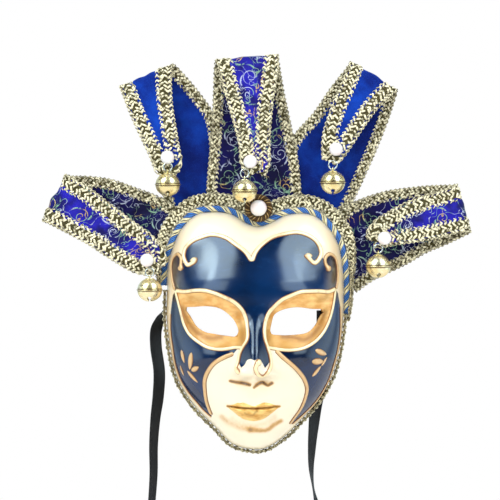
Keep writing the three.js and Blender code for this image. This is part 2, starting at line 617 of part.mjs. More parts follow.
// Braid along both edges as two bands that become one pad where they meet, down to the tip
function petalTrim(stations) {
  const meet = trimsMeet(stations);
  const half = TRIM_THICKNESS / 2;
  const points = stations.flatMap((s, i) => {
    const width = s.right - s.left;
    const leftInner = i < meet ? s.left + s.leftTrim : s.left + 0.4 * width;
    const rightInner = i < meet ? s.right - s.rightTrim : s.right - 0.4 * width;
    const sides = [s.left, leftInner, rightInner, s.right];
    return [...sides.map((side) => s.place(side, -half)), ...sides.reverse().map((side) => s.place(side, half))];
  });
  const triangles = [];
  const quad = (a, c, d, e) => triangles.push([a, c, d], [a, d, e]);
  const walls = (station, loop) => loop.forEach((corner, j) => {
    const next = loop[(j + 1) % loop.length];
    quad(8 * station + corner, 8 * station + next, 8 * station + 8 + next, 8 * station + 8 + corner);
  });
  const leftLoop = [0, 1, 6, 7];
  const rightLoop = [2, 3, 4, 5];
  for (let i = 0; i + 1 < stations.length; i += 1) {
    const loops = i < meet ? [leftLoop, rightLoop] : [[0, 1, 2, 3, 4, 5, 6, 7]];
    for (const loop of loops) walls(i, loop);
  }
  for (const [p, q, r, t] of [leftLoop, rightLoop]) quad(t, r, q, p);
  quad(8 * meet + 6, 8 * meet + 5, 8 * meet + 2, 8 * meet + 1);
  const last = 8 * (stations.length - 1);
  for (const [p, q, r, t] of [[0, 1, 6, 7], [1, 2, 5, 6], [2, 3, 4, 5]]) quad(last + p, last + q, last + r, last + t);
  return closedGeometry(points, triangles);
}

// A point of the flap at shares of the petal's length and width, with how far forward the flap is there
function flapSpot(petal, spot) {
  const lean = THREE.MathUtils.degToRad(petal.lean);
  const foldLean = THREE.MathUtils.degToRad(petal.foldLean);
  const along = spot.along * (petal.length - FOLD_RADIUS);
  const side = spot.side * petal.width;
  const layerStand = TRIM_THICKNESS / 2 + CLEAR + petal.layer * (TRIM_THICKNESS + CLEAR);
  const foldFront = layerStand - petal.leanOut * petal.back.at(-1).along ** 2 - 2 * FOLD_RADIUS;
  const tipStand = petal.name === 'centre' ? CENTRE_TIP_STAND : TIP_STAND;
  const firstAlong = petal.flap[0].along;
  const down = (firstAlong - spot.along) / (firstAlong - petal.flap.at(-1).along);
  return new THREE.Vector3(
    petal.root.x * HALF_WIDTH + Math.sin(lean) * along + Math.cos(foldLean) * side,
    foldFront + (-tipStand - foldFront) * down,
    petal.root.z * FACE_HEIGHT + Math.cos(lean) * along - Math.sin(foldLean) * side,
  );
}

// Jingle bell: a hollow round body with an equator flange, cross slots below and a loop on top
const LOOP_RADIUS = (RING_WIRE + LOOP_WIRE) / 2 + 1.5 * CLEAR;
const RING_RADIUS = (RING_DIAMETER - RING_WIRE) / 2;
const RING_TO_BELL = RING_RADIUS + CLEAR + LOOP_RADIUS * 0.75 + BELL_HEIGHT / 2;

// Half an ellipse from the bottom to the top of the axis, with extra points at its widest
function bellProfile(radius, half, sides, widest = []) {
  const arc = (i) => {
    const angle = -Math.PI / 2 + (i / sides) * Math.PI;
    return new THREE.Vector2(i % sides === 0 ? 0 : radius * Math.cos(angle), half * Math.sin(angle));
  };
  const lower = Array.from({ length: sides / 2 }, (_, i) => arc(i));
  const upper = Array.from({ length: sides / 2 }, (_, i) => arc(i + sides / 2 + 1));
  return [...lower, ...widest, ...upper];
}

function bellBody() {
  const around = 12;
  const wide = BELL_DIAMETER / 2;
  const rim = [[wide - BELL_LIP, -1], [wide, -1], [wide, 1], [wide - BELL_LIP, 1]]
    .map(([r, s]) => new THREE.Vector2(r, (s * BELL_FLANGE) / 2));
  const outer = new THREE.LatheGeometry(bellProfile(wide - BELL_LIP, BELL_HEIGHT / 2, 6, rim), around);
  const hollow = wide - BELL_LIP - BELL_WALL;
  const inner = new THREE.LatheGeometry(
    bellProfile(hollow, BELL_HEIGHT / 2 - BELL_WALL, 6, [new THREE.Vector2(hollow, 0)]), around - 2,
  );
  const loop = new THREE.TorusGeometry(LOOP_RADIUS, LOOP_WIRE / 2, 5, 8);
  loop.rotateY(Math.PI / 2);
  loop.translate(0, BELL_HEIGHT / 2 + LOOP_RADIUS * 0.75, 0);
  let bell = toManifold(outer).subtract(toManifold(inner)).add(toManifold(loop));
  const slotLength = BELL_DIAMETER * 0.62;
  for (const turn of [0, Math.PI / 2]) {
    const slot = new THREE.BoxGeometry(slotLength, BELL_HEIGHT * 0.45, BELL_SLOT);
    slot.translate(0, -BELL_HEIGHT / 2, 0);
    slot.rotateY(turn);
    bell = bell.subtract(toManifold(slot));
  }
  return fromManifold(bell).rotateX(Math.PI / 2);
}

for (const petal of PETALS) {
  const stations = petalStations(petal);
  addPiece(`petal_${petal.name}`, petalCloth(stations), FINISHES[petal.cloth]);
  addPiece(`petal_braid_${petal.name}`, petalTrim(stations), FINISHES.braid);
  const pearl = flapSpot(petal, petal.pearl);
  pearl.y -= TRIM_THICKNESS / 2 + CLEAR + PEARL_DIAMETER / 2;
  addPiece(`pearl_${petal.name}`, new THREE.SphereGeometry(PEARL_DIAMETER / 2, 12, 6), FINISHES.pearl)
    .position.copy(pearl);
  const ring = flapSpot(petal, petal.ring);
  ring.y -= RING_FORWARD;
  const hoop = new THREE.TorusGeometry(RING_RADIUS, RING_WIRE / 2, 5, 10).rotateX(Math.PI / 2);
  addPiece(`ring_${petal.name}`, hoop, FINISHES.silver).position.copy(ring);
  const bell = ring.clone();
  bell.z -= RING_TO_BELL;
  addPiece(`bell_${petal.name}`, bellBody(), FINISHES.bell).position.copy(bell);
}

// A ribbon lofted down its rows: turn is how far its width swings from lying across to edge on
function ribbon(rows) {
  const route = new THREE.CatmullRomCurve3(rows.map(({ x, z, stand }) => (
    new THREE.Vector3(x * HALF_WIDTH, stand + CLEAR, z * RIBBON_DROP))), false, 'centripetal');
  const sections = [];
  const steps = (rows.length - 1) * 2;
  for (let i = 0; i <= steps; i += 1) {
    const place = (i / steps) * (rows.length - 1);
    const row = Math.min(Math.floor(place), rows.length - 2);
    const turn = THREE.MathUtils.degToRad(rows[row].turn + (rows[row + 1].turn - rows[row].turn) * (place - row));
    const middle = route.getPoint(i / steps);
    const direction = route.getTangent(i / steps);
    const level = new THREE.Vector3(Math.cos(turn), Math.sin(turn), 0);
    const up = level.clone().cross(direction).normalize();
    const across = direction.clone().cross(up).normalize();
    middle.y += (Math.abs(across.y) * RIBBON_WIDTH + RIBBON_THICKNESS) / 2;
    sections.push(bandSection(middle, across, up, RIBBON_WIDTH, RIBBON_THICKNESS));
  }
  return loft(sections);
}
addPiece('ribbon_left', ribbon(RIBBON_LEFT), FINISHES.satin);
addPiece('ribbon_right', ribbon(RIBBON_RIGHT), FINISHES.satin);

export default mask;
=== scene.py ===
"""Jester mask: the looks of every piece, in the order in which the mask is put together."""

import math

import bpy
import numpy as np
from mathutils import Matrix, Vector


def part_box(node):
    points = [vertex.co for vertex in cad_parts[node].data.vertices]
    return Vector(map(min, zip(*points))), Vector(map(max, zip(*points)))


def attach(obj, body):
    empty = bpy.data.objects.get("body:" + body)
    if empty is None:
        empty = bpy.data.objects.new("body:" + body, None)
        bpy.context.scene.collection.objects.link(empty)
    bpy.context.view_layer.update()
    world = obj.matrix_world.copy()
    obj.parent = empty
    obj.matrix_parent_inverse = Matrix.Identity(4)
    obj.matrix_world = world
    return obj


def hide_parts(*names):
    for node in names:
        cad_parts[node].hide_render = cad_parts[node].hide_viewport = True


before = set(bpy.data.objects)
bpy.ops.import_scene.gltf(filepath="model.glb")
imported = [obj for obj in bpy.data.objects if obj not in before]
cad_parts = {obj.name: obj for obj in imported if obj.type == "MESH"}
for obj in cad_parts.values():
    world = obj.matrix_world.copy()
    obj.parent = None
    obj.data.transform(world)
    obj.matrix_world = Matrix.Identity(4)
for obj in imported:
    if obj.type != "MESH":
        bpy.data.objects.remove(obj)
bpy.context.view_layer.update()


# Studio: the mask hangs before a white ground and is seen square from the front, two metres away.
# Two tall soft lamps stand high to the left and right of the camera, and a low pale floor lies below.
class Wire:
    """One socket of a finish. Sums, differences, products, quotients and powers add Math nodes."""

    def __init__(self, finish, socket):
        self.finish = finish
        self.socket = socket

    def math(self, operation, *others):
        return self.finish.node("ShaderNodeMath", {"operation": operation}, dict(enumerate((self, *others))))

    def __add__(self, other):
        return self.math("ADD", other)

    def __mul__(self, other):
        return self.math("MULTIPLY", other)

    def __sub__(self, other):
        return self.math("SUBTRACT", other)

    def __truediv__(self, other):
        return self.math("DIVIDE", other)

    def __pow__(self, other):
        return self.math("POWER", other)

    __radd__ = __add__
    __rmul__ = __mul__

    def __rsub__(self, other):
        return self.finish.node("ShaderNodeMath", {"operation": "SUBTRACT"}, {0: other, 1: self})

    def step(self, low, high):
        """Rises smoothly from 0 at low to 1 at high, or falls where low is above high."""
        return self.finish.node(
            "ShaderNodeMapRange",
            {"interpolation_type": "SMOOTHSTEP"},
            {"Value": self, "From Min": low, "From Max": high},
        )


class Finish:
    """A material, or the world, that is wired up from nodes."""

    def __init__(self, name, holder=None):
        self.material = holder or bpy.data.materials.new(name)
        self.material.use_nodes = True
        self.tree = self.material.node_tree
        self.tree.nodes.clear()

    def node(self, kind, settings=None, sockets=None, output=0):
        """Adds a node: first its settings, then the values or wires of its sockets."""
        node = self.tree.nodes.new(kind)
        for key, value in (settings or {}).items():
            if key == "stops":
                for extra in value[2:]:
                    node.color_ramp.elements.new(extra[0])
                for element, (place, color) in zip(node.color_ramp.elements, sorted(value)):
                    element.position = place
                    element.color = color
            else:
                setattr(node, key, value)
        for key, value in (sockets or {}).items():
            if isinstance(value, Wire):
                self.tree.links.new(value.socket, node.inputs[key])
            else:
                node.inputs[key].default_value = value
        return Wire(self, node.outputs[output]) if node.outputs else None

    def place(self):
        """Where a point is on the object, in metres."""
        return self.node("ShaderNodeTexCoord", output="Object")

    def along(self):
        """A point's place on the piece's own UV map."""
        return self.node("ShaderNodeUVMap", {"uv_map": "UVMap"})

    def mark(self, name):
        """A number that the mesh carries at every point."""
        return self.node("ShaderNodeAttribute", {"attribute_name": name}, output="Fac")

    def noise(self, where, scale, detail=3.0, roughness=0.55, output=0):
        return self.node(
            "ShaderNodeTexNoise",
            {},
            {"Vector": where, "Scale": scale, "Detail": detail, "Roughness": roughness},
            output,
        )

    def stretch(self, where, scale):
        return self.node("ShaderNodeMapping", {}, {"Vector": where, "Scale": scale})

    def split(self, where, axis):
        return self.node("ShaderNodeSeparateXYZ", {}, {0: where}, output=axis)

    def mix(self, share, first, second):
        """The first colour where share is 0 and the second where it is 1."""
        return self.node("ShaderNodeMix", {"data_type": "RGBA"}, {0: share, 6: first, 7: second}, output=2)

    def surface(self, color, roughness, height=None, depth=0.0002, **constants):
        """Ends the material in a Principled surface. depth is how many metres a height of 1 stands up."""
        sockets = {"Base Color": color, "Roughness": roughness}
        for key, value in constants.items():
            sockets[key.replace("_", " ").title().replace("Ior", "IOR")] = value
        if height is not None:
            sockets["Normal"] = self.node("ShaderNodeBump", {}, {"Height": height, "Distance": depth})
        shaded = self.node("ShaderNodeBsdfPrincipled", {}, sockets)
        self.node("ShaderNodeOutputMaterial", {}, {"Surface": shaded})
        return self.material


def paint(code, alpha=1.0):
    """A colour from its web code, as the linear values that a shader takes."""
    parts = [int(code[i : i + 2], 16) / 255 for i in (1, 3, 5)]
    return (*[c / 12.92 if c <= 0.04045 else ((c + 0.055) / 1.055) ** 2.4 for c in parts], alpha)


CAMERA_PLACE = (-0.00387, -2.0, 0.0602)
VIEW_WIDTH = 0.430
LAMP_AIM = np.array([0.0, -0.04, 0.05])
LAMP_DISTANCE = 1.6
FLOOR_DROP = -0.34

camera = bpy.data.objects.new("camera", bpy.data.cameras.new("camera"))
bpy.context.scene.collection.objects.link(camera)
camera.location = CAMERA_PLACE
camera.rotation_euler = (math.pi / 2, 0, 0)
camera.data.sensor_width = 36
camera.data.lens = 36 * -CAMERA_PLACE[1] / VIEW_WIDTH
bpy.context.scene.camera = camera
bpy.context.scene.view_settings.view_transform = "Standard"


def lamp(name, azimuth, elevation, width, height, radiance):
    """A soft box seen from the mask at azimuth (degrees right of the camera) and elevation."""
    a, e = math.radians(azimuth), math.radians(elevation)
    towards = np.array([math.sin(a) * math.cos(e), -math.cos(a) * math.cos(e), math.sin(e)])
    light = bpy.data.lights.new(name, "AREA")
    light.shape = "RECTANGLE"
    light.size, light.size_y = width, height
    light.energy = radiance * math.pi * width * height
    holder = bpy.data.objects.new(name, light)
    holder.location = LAMP_AIM + towards * LAMP_DISTANCE
    holder.rotation_euler = (math.pi / 2 + math.radians(-elevation), 0, a)
    holder.visible_glossy = False
    bpy.context.scene.collection.objects.link(holder)


lamp("left soft box", -44, 25, 0.85, 1.35, 2.9)
lamp("right soft box", 46, 25, 0.85, 1.35, 2.3)
lamp("back rim box", 180, 35, 1.2, 0.8, 2.0)
lamp("front fill", 0, 50, 1.6, 1.0, 1.8)

ground = Finish("white ground", bpy.data.worlds.new("white ground"))
bpy.context.scene.world = ground.material
direction = ground.node("ShaderNodeTexCoord", output="Generated")
x, y, z = (ground.split(direction, axis) for axis in "XYZ")
azimuth = x.math("ARCTAN2", y * -1) * (180 / math.pi)
rise = z.math("ARCSINE") * (180 / math.pi)
tall = rise.step(74, 56)
left_box = azimuth.step(-76, -70) * azimuth.step(-18, -32) * (rise - (azimuth + 60) * 0.15).step(31, 34) * tall
right_box = azimuth.step(28, 41) * azimuth.step(78, 70) * rise.step(29.5, 32.5) * tall
sideways = azimuth.math("ABSOLUTE")
low_boxes = sideways.step(24, 32) * sideways.step(66, 58) * rise.step(0, 10) * rise.step(36, 30)
hot_spot = (((azimuth + 58) / 9) ** 2 + ((rise - 37) / 6) ** 2).step(1.0, 0.1) * 11.0
hot_spot = hot_spot + (((azimuth - 62) / 9) ** 2 + ((rise - 37) / 5) ** 2).step(1.0, 0.1) * 4.0
glow = 0.02 + left_box * 8.0 + right_box * 7.0 + low_boxes * 4.0 + hot_spot
glow = glow + x.math("ABSOLUTE").step(0.86, 0.99) * 1.9
glow = glow + z.step(0.0, -0.5) * 0.5 + y.step(0.2, 0.8) * 0.8
seen = ground.node("ShaderNodeBackground", {}, {"Color": (1, 1, 1, 1), "Strength": 1.0})
shone = ground.node("ShaderNodeBackground", {}, {"Color": (1, 1, 1, 1), "Strength": 0.62})
mirrored = ground.node("ShaderNodeBackground", {}, {"Color": (0.70, 0.90, 1, 1), "Strength": glow})
straight = ground.node("ShaderNodeLightPath", output="Is Camera Ray")
glossy = ground.node("ShaderNodeLightPath", output="Is Glossy Ray")
lighting = ground.node("ShaderNodeMixShader", {}, {0: glossy, 1: shone, 2: mirrored})
choice = ground.node("ShaderNodeMixShader", {}, {0: straight, 1: lighting, 2: seen})
ground.node("ShaderNodeOutputWorld", {}, {"Surface": choice})


def grid_faces(rows, columns, around=False, looped=False):
    """Quads of a rows by columns grid, joined round its columns or its rows where asked.

    Returns the corners' point numbers, and the same corners' rows and columns before any joining."""
    i = np.arange(rows if looped else rows - 1)[:, None]
    j = np.arange(columns if around else columns - 1)[None, :]
    corners = [(i, j), (i, j + 1), (i + 1, j + 1), (i + 1, j)]
    numbers = np.stack([(a % rows) * columns + b % columns for a, b in corners], -1)
    places = np.stack([np.stack(np.broadcast_arrays(a, b), -1) for a, b in corners], -2)
    return numbers.reshape(-1, 4), places.reshape(-1, 4, 2)


def make_piece(name, points, faces, materials, uv=None, marks=None, smooth=True):
    """A mesh object from points in millimetres and faces as arrays of point numbers.

    uv holds one place a corner for the first array of faces, and marks one number a point by name."""
    mesh = bpy.data.meshes.new(name)
    groups = faces if isinstance(faces, list) else [faces]
    mesh.from_pydata((np.asarray(points) * 0.001).tolist(), [], [f for g in groups for f in g.tolist()])
    if uv is not None:
        corners = np.zeros((len(mesh.loops), 2), np.float32)
        flat = np.concatenate([u.reshape(-1, 2) for u in (uv if isinstance(uv, list) else [uv])])
        corners[: len(flat)] = flat
        mesh.uv_layers.new(name="UVMap").data.foreach_set("uv", corners.ravel())
    for key, values in (marks or {}).items():
        mesh.attributes.new(key, "FLOAT", "POINT").data.foreach_set("value", np.asarray(values, np.float32))
    for material in materials:
        mesh.materials.append(material)
    mesh.polygons.foreach_set("use_smooth", np.full(len(mesh.polygons), smooth))
    mesh.update()
    piece = bpy.data.objects.new(name, mesh)
    bpy.context.scene.collection.objects.link(piece)
    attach(piece, "root")
    return piece


floor_finish = Finish("pale floor paper")
floor_tone = floor_finish.noise(floor_finish.place(), 3.0)
floor_color = floor_finish.mix(floor_tone, paint("#f4f3f0"), paint("#fbfaf8"))
floor_faces, _ = grid_faces(2, 2)
floor_points = np.array([[-1100, -1100, 0], [1100, -1100, 0], [-1100, 1100, 0], [1100, 1100, 0]], float)
floor_points[:, 2] = FLOOR_DROP * 1000
floor_mesh = bpy.data.meshes.new("floor")
floor_mesh.from_pydata((floor_points * 0.001).tolist(), [], floor_faces.tolist())
floor_mesh.materials.append(floor_finish.surface(floor_color, 0.8))
floor = bpy.data.objects.new("floor", floor_mesh)
bpy.context.scene.collection.objects.link(floor)


# Face: a hollow shell moulded from paper pulp, lacquered ivory and gloss, with blue and gold painting.
# The eye holes are cut through, and the inside is bare white pulp.
HALF_WIDTH, FACE_HEIGHT, FACE_DEPTH, SHELL_WALL = 76.0, 205.0, 56.0, 2.4
FACE_CENTRE = -0.04 * FACE_HEIGHT
NOSE_TIP = -0.21 * FACE_HEIGHT
NOSE_RISE = 21.0
FOREHEAD_REACH = 103.0
SHARES = np.array([HALF_WIDTH, FACE_HEIGHT])
SPOKES, RINGS = 360, 120

EDGE = [
    (-0.990, 0.134), (-0.975, 0.235), (-0.93, 0.294), (-0.83, 0.378), (-0.66, 0.440), (-0.48, 0.453),
    (-0.28, 0.445), (-0.07, 0.402), (0.034, 0.391), (0.153, 0.402), (0.353, 0.438), (0.48, 0.446),
    (0.605, 0.444), (0.74, 0.421), (0.91, 0.345), (0.987, 0.243), (1.007, 0.0755), (0.994, -0.045),
    (0.903, -0.208), (0.738, -0.330), (0.515, -0.424), (0.345, -0.487), (0.127, -0.537), (-0.017, -0.543),
    (-0.249, -0.520), (-0.447, -0.449), (-0.673, -0.364), (-0.866, -0.252), (-0.962, -0.105), (-0.996, 0.021),
]
# Soft forms, mirrored: middle across and up, spread across and up, rise in millimetres
FORMS = [
    (0.0, 0.145, 0.80, 0.060, 1.0), (0.46, 0.000, 0.28, 0.070, -9.0), (0.50, -0.150, 0.26, 0.070, 4.0),
    (0.12, -0.345, 0.30, 0.070, 2.5), (0.08, -0.455, 0.20, 0.040, 2.5), (0.17, -0.200, 0.07, 0.022, 7.0),
]
EYE_HOLES = [
    [(-0.78, 0.054), (-0.66, 0.060), (-0.53, 0.063), (-0.39, 0.055), (-0.28, 0.028), (-0.21, -0.004),
     (-0.18, -0.040), (-0.21, -0.058), (-0.30, -0.057), (-0.44, -0.050), (-0.55, -0.042), (-0.65, -0.018),
     (-0.72, 0.018)],
    [(0.78, 0.046), (0.63, 0.052), (0.46, 0.059), (0.31, 0.049), (0.22, 0.030), (0.19, -0.001),
     (0.18, -0.046), (0.28, -0.054), (0.45, -0.053), (0.58, -0.045), (0.67, -0.018), (0.73, 0.018)],
]
EYE_LINES = [
    [(-0.88, 0.126), (-0.77, 0.122), (-0.66, 0.127), (-0.55, 0.127), (-0.44, 0.117), (-0.33, 0.101),
     (-0.23, 0.082), (-0.15, 0.055), (-0.10, 0.019), (-0.08, -0.022), (-0.08, -0.070), (-0.13, -0.103),
     (-0.16, -0.127), (-0.18, -0.163), (-0.20, -0.190), (-0.16, -0.206)],
    [(0.90, 0.134), (0.83, 0.122), (0.72, 0.124), (0.61, 0.124), (0.51, 0.122), (0.39, 0.106),
     (0.30, 0.090), (0.21, 0.060), (0.15, 0.033), (0.11, -0.015), (0.11, -0.064), (0.14, -0.103),
     (0.17, -0.141), (0.174, -0.180), (0.135, -0.205), (0.077, -0.217), (0.023, -0.203), (0.010, -0.183),
     (0.036, -0.163), (0.069, -0.155)],
]
LOWER_LIDS = [
    [(-0.88, 0.126), (-0.82, 0.040), (-0.78, -0.014), (-0.72, -0.053), (-0.61, -0.086), (-0.51, -0.105),
     (-0.39, -0.112), (-0.31, -0.110), (-0.22, -0.104), (-0.13, -0.103)],
    [(0.90, 0.134), (0.87, 0.061), (0.83, 0.007), (0.77, -0.040), (0.67, -0.081), (0.54, -0.107),
     (0.40, -0.115), (0.29, -0.113), (0.21, -0.108), (0.14, -0.103)],
]
HEARTS = [
    [(-0.03, 0.247), (-0.10, 0.285), (-0.22, 0.319), (-0.32, 0.344), (-0.47, 0.357), (-0.61, 0.344),
     (-0.70, 0.328), (-0.77, 0.301), (-0.79, 0.268), (-0.77, 0.245), (-0.74, 0.232), (-0.68, 0.246),
     (-0.69, 0.262)],
    [(-0.03, 0.247), (0.01, 0.285), (0.08, 0.314), (0.20, 0.344), (0.34, 0.360), (0.48, 0.366),
     (0.59, 0.355), (0.68, 0.333), (0.73, 0.303), (0.74, 0.273), (0.67, 0.240), (0.61, 0.257),
     (0.59, 0.281)],
]
CHEEK_LINES = [
    [(-0.23, -0.128), (-0.33, -0.143), (-0.44, -0.167), (-0.51, -0.200), (-0.55, -0.238), (-0.55, -0.287),
     (-0.53, -0.336), (-0.48, -0.389)],
    [(0.23, -0.115), (0.31, -0.143), (0.42, -0.178), (0.49, -0.205), (0.55, -0.238), (0.58, -0.276),
     (0.56, -0.320), (0.51, -0.364), (0.45, -0.396), (0.39, -0.428)],
]
SIDE_LINES = [
    [(-0.94, 0.031), (-0.94, -0.042), (-0.92, -0.102), (-0.89, -0.176), (-0.83, -0.242), (-0.74, -0.298),
     (-0.64, -0.342), (-0.56, -0.375), (-0.48, -0.400)],
    [(0.96, 0.060), (0.96, -0.042), (0.93, -0.126), (0.88, -0.192), (0.83, -0.248), (0.75, -0.303),
     (0.66, -0.348), (0.54, -0.392), (0.42, -0.430)],
]
TEMPLE_SCROLLS = [
    [(-0.888, 0.128), (-0.911, 0.157), (-0.925, 0.190), (-0.931, 0.227), (-0.909, 0.260), (-0.860, 0.277),
     (-0.821, 0.261), (-0.820, 0.232), (-0.827, 0.207)],
    [(0.908, 0.132), (0.924, 0.157), (0.930, 0.190), (0.925, 0.227), (0.894, 0.265), (0.838, 0.277),
     (0.790, 0.261), (0.792, 0.236), (0.828, 0.215), (0.843, 0.207)],
]
# Lips, as shares from the middle of the mouth outwards: upper edge, parting and lower edge
LIP_MIDDLE = -0.012
LIP_HALF = 0.295
LIP_ROWS = np.array([
    (0.00, -0.3445, -0.3535, -0.4090), (0.12, -0.3400, -0.3530, -0.4080), (0.28, -0.3330, -0.3530, -0.4040),
    (0.42, -0.3285, -0.3525, -0.3980), (0.58, -0.3310, -0.3510, -0.3860), (0.78, -0.3390, -0.3490, -0.3670),
    (1.00, -0.3460, -0.3475, -0.3490),
])


def curve_through(points, per_span=12, closed=False):
    """A smooth curve through the points: in each span a cubic whose end slopes weigh the neighbours by
    the square roots of the distances between the points."""
    p = np.asarray(points, float)
    if closed:
        p = np.concatenate([p[-1:], p, p[:2]])
    else:
        p = np.concatenate([2 * p[:1] - p[1:2], p, 2 * p[-1:] - p[-2:-1]])
    step = np.maximum(np.linalg.norm(np.diff(p, axis=0), axis=1), 1e-6)[:, None] ** 0.5
    d0, d1, d2 = step[:-2], step[1:-1], step[2:]
    p0, p1, p2, p3 = p[:-3], p[1:-2], p[2:-1], p[3:]
    t1 = ((p1 - p0) / d0 - (p2 - p0) / (d0 + d1) + (p2 - p1) / d1) * d1
    t2 = ((p2 - p1) / d1 - (p3 - p1) / (d1 + d2) + (p3 - p2) / d2) * d1
    t = (np.arange(per_span) / per_span)[None, :, None]
    a, b, m, n = p1[:, None], p2[:, None], t1[:, None], t2[:, None]
    spans = a + m * t + (3 * (b - a) - 2 * m - n) * t**2 + (2 * (a - b) + m + n) * t**3
    line = spans.reshape(-1, p.shape[1])
    return line if closed else np.concatenate([line, p[-2:-1]])


def smooth_step(low, high, value):
    """0 up to low, 1 from high, and a smooth rise between them."""
    t = np.clip((value - low) / (high - low), 0, 1)
    return t * t * (3 - 2 * t)


def edge_samples(centre):
    """The face's edge as angles clockwise from straight up about a centre height, and its reach there."""
    line = curve_through(np.array(EDGE) * SHARES, 30, closed=True)
    angle = np.arctan2(line[:, 0], line[:, 1] - centre)
    order = np.argsort(angle)
    return angle[order], np.hypot(line[:, 0], line[:, 1] - centre)[order]


ABOUT_FACE = edge_samples(FACE_CENTRE)
ABOUT_NOSE = edge_samples(NOSE_TIP)


def edge_reach(angle, samples):
    return np.interp(angle, *samples, period=2 * np.pi)


def lip_relief(x, z):
    """Two lips over the face: each a swell between its edge and the parting, with a groove there."""
    across = x / HALF_WIDTH - LIP_MIDDLE
    share = np.clip(np.abs(across) / LIP_HALF, 0, 1.2)
    top, part, low = (np.interp(share, LIP_ROWS[:, 0], LIP_ROWS[:, i]) * FACE_HEIGHT for i in (1, 2, 3))
    full = np.sqrt(np.clip(1 - share**2.2, 0, 1))
    upper = np.clip((z - part) / np.maximum(top - part, 0.3), 0, 1.0001)
    lower = np.clip((part - z) / np.maximum(part - low, 0.3), 0, 1.0001)
    swell = 2.6 * np.sin(np.pi * np.clip(upper, 0, 1) ** 0.75) * (upper > 0) * (upper < 1)
    swell = swell + 3.4 * np.sin(np.pi * np.clip(lower, 0, 1) ** 0.8) * (lower > 0) * (lower < 1)
    groove = -1.7 * np.exp(-(((z - part) / 0.9) ** 2)) * smooth_step(1.12, 0.8, share)
    under = -1.4 * np.exp(-(((z - low + 2.2) / 2.6) ** 2)) * smooth_step(1.0, 0.2, share)
    corner = -0.9 * np.exp(-(((share - 1.02) * 7) ** 2) - ((z - part) / 1.8) ** 2)
    return swell * full + groove + under + corner


def face_height(x, z, fine=True):
    """Forward height over the rim: a dome that follows the edge near the rim and a plain oval on the
    forehead, soft forms as bell-shaped swells, the nose as a ridge
    whose half width grows downwards, and with fine the lips, nostrils and the furrow over the lips."""
    angle = np.arctan2(x, z - FACE_CENTRE)
    radius = np.hypot(x, z - FACE_CENTRE)
    share = radius / edge_reach(angle, ABOUT_FACE)
    oval = 1 / np.sqrt((np.sin(angle) / HALF_WIDTH) ** 2 + (np.cos(angle) / FOREHEAD_REACH) ** 2)
    share = share + (radius / oval - share) * (1 - smooth_step(0.60, 1.0, share)) * smooth_step(-20, 40, z)
    dome = FACE_DEPTH * np.sqrt(np.clip(1 - share**2.5, 0, 1))
    across, up = x / HALF_WIDTH, z / FACE_HEIGHT
    forms = 0
    for middle, level, wide, high, rise in FORMS:
        for side in (-1, 1):
            forms = forms + rise * np.exp(-(((across - side * middle) / wide) ** 2) - ((up - level) / high) ** 2)
    nose_length = smooth_step(-0.245, -0.205, up) * smooth_step(0.07, -0.19, up)
    nose_half = 0.10 + 0.07 * smooth_step(0.05, -0.2, up)
    nose = NOSE_RISE * nose_length * np.exp(-((across / nose_half) ** 2))
    height = dome + (forms + nose) * smooth_step(1, 0.82, share)
    if fine:
        for side in (-0.150, 0.095):
            height = height - 2.6 * np.exp(-(((across - side) / 0.045) ** 2) - ((up + 0.2475) / 0.0085) ** 2)
        furrow = smooth_step(-0.26, -0.285, up) * smooth_step(-0.345, -0.315, up)
        height = height - 0.9 * np.exp(-(((across + 0.01) / 0.035) ** 2)) * furrow
        height = height + lip_relief(x, z)
    return height


def face_normal(x, z):
    """The face's outward direction, from the slopes of its height."""
    slope_x = (face_height(x + 0.4, z, False) - face_height(x - 0.4, z, False)) / 0.8
    slope_z = (face_height(x, z + 0.4, False) - face_height(x, z - 0.4, False)) / 0.8
    normal = np.stack([-slope_x, -np.ones_like(slope_x), -slope_z], -1)
    return normal / np.linalg.norm(normal, axis=1, keepdims=True)


def within(x, z, outline):
    """Distance to a closed outline, above 0 inside it, and the nearest place on it."""
    a = np.asarray(outline)
    b = np.roll(a, -1, axis=0)
    best = np.full(len(x), 1e9)
    nearest = np.zeros((len(x), 2))
    crossings = np.zeros(len(x), int)
    for start, end in zip(a, b):
        leg = end - start
        t = np.clip(((x - start[0]) * leg[0] + (z - start[1]) * leg[1]) / max(leg @ leg, 1e-9), 0, 1)
        px, pz = start[0] + t * leg[0], start[1] + t * leg[1]
        gap = np.hypot(x - px, z - pz)
        closer = gap < best
        best = np.where(closer, gap, best)
        nearest[closer, 0], nearest[closer, 1] = px[closer], pz[closer]
        if start[1] != end[1]:
            over = (start[1] > z) != (end[1] > z)
            crossings += over & (x < start[0] + (z - start[1]) / (end[1] - start[1]) * leg[0])
    return np.where(crossings % 2 == 1, best, -best), nearest


def stroke(x, z, places, spread, per_span=8):
    """How near a point is to a brush stroke, from 0 to 1, falling off bell-shaped with the spread."""
    line = curve_through(np.array(places) * SHARES, per_span)
    gap = np.full(len(x), 1e9)
    for start, end in zip(line[:-1], line[1:]):
        leg = end - start
        t = np.clip(((x - start[0]) * leg[0] + (z - start[1]) * leg[1]) / max(leg @ leg, 1e-9), 0, 1)
        gap = np.minimum(gap, np.hypot(x - start[0] - t * leg[0], z - start[1] - t * leg[1]))
    return np.exp(-((gap / spread) ** 2))


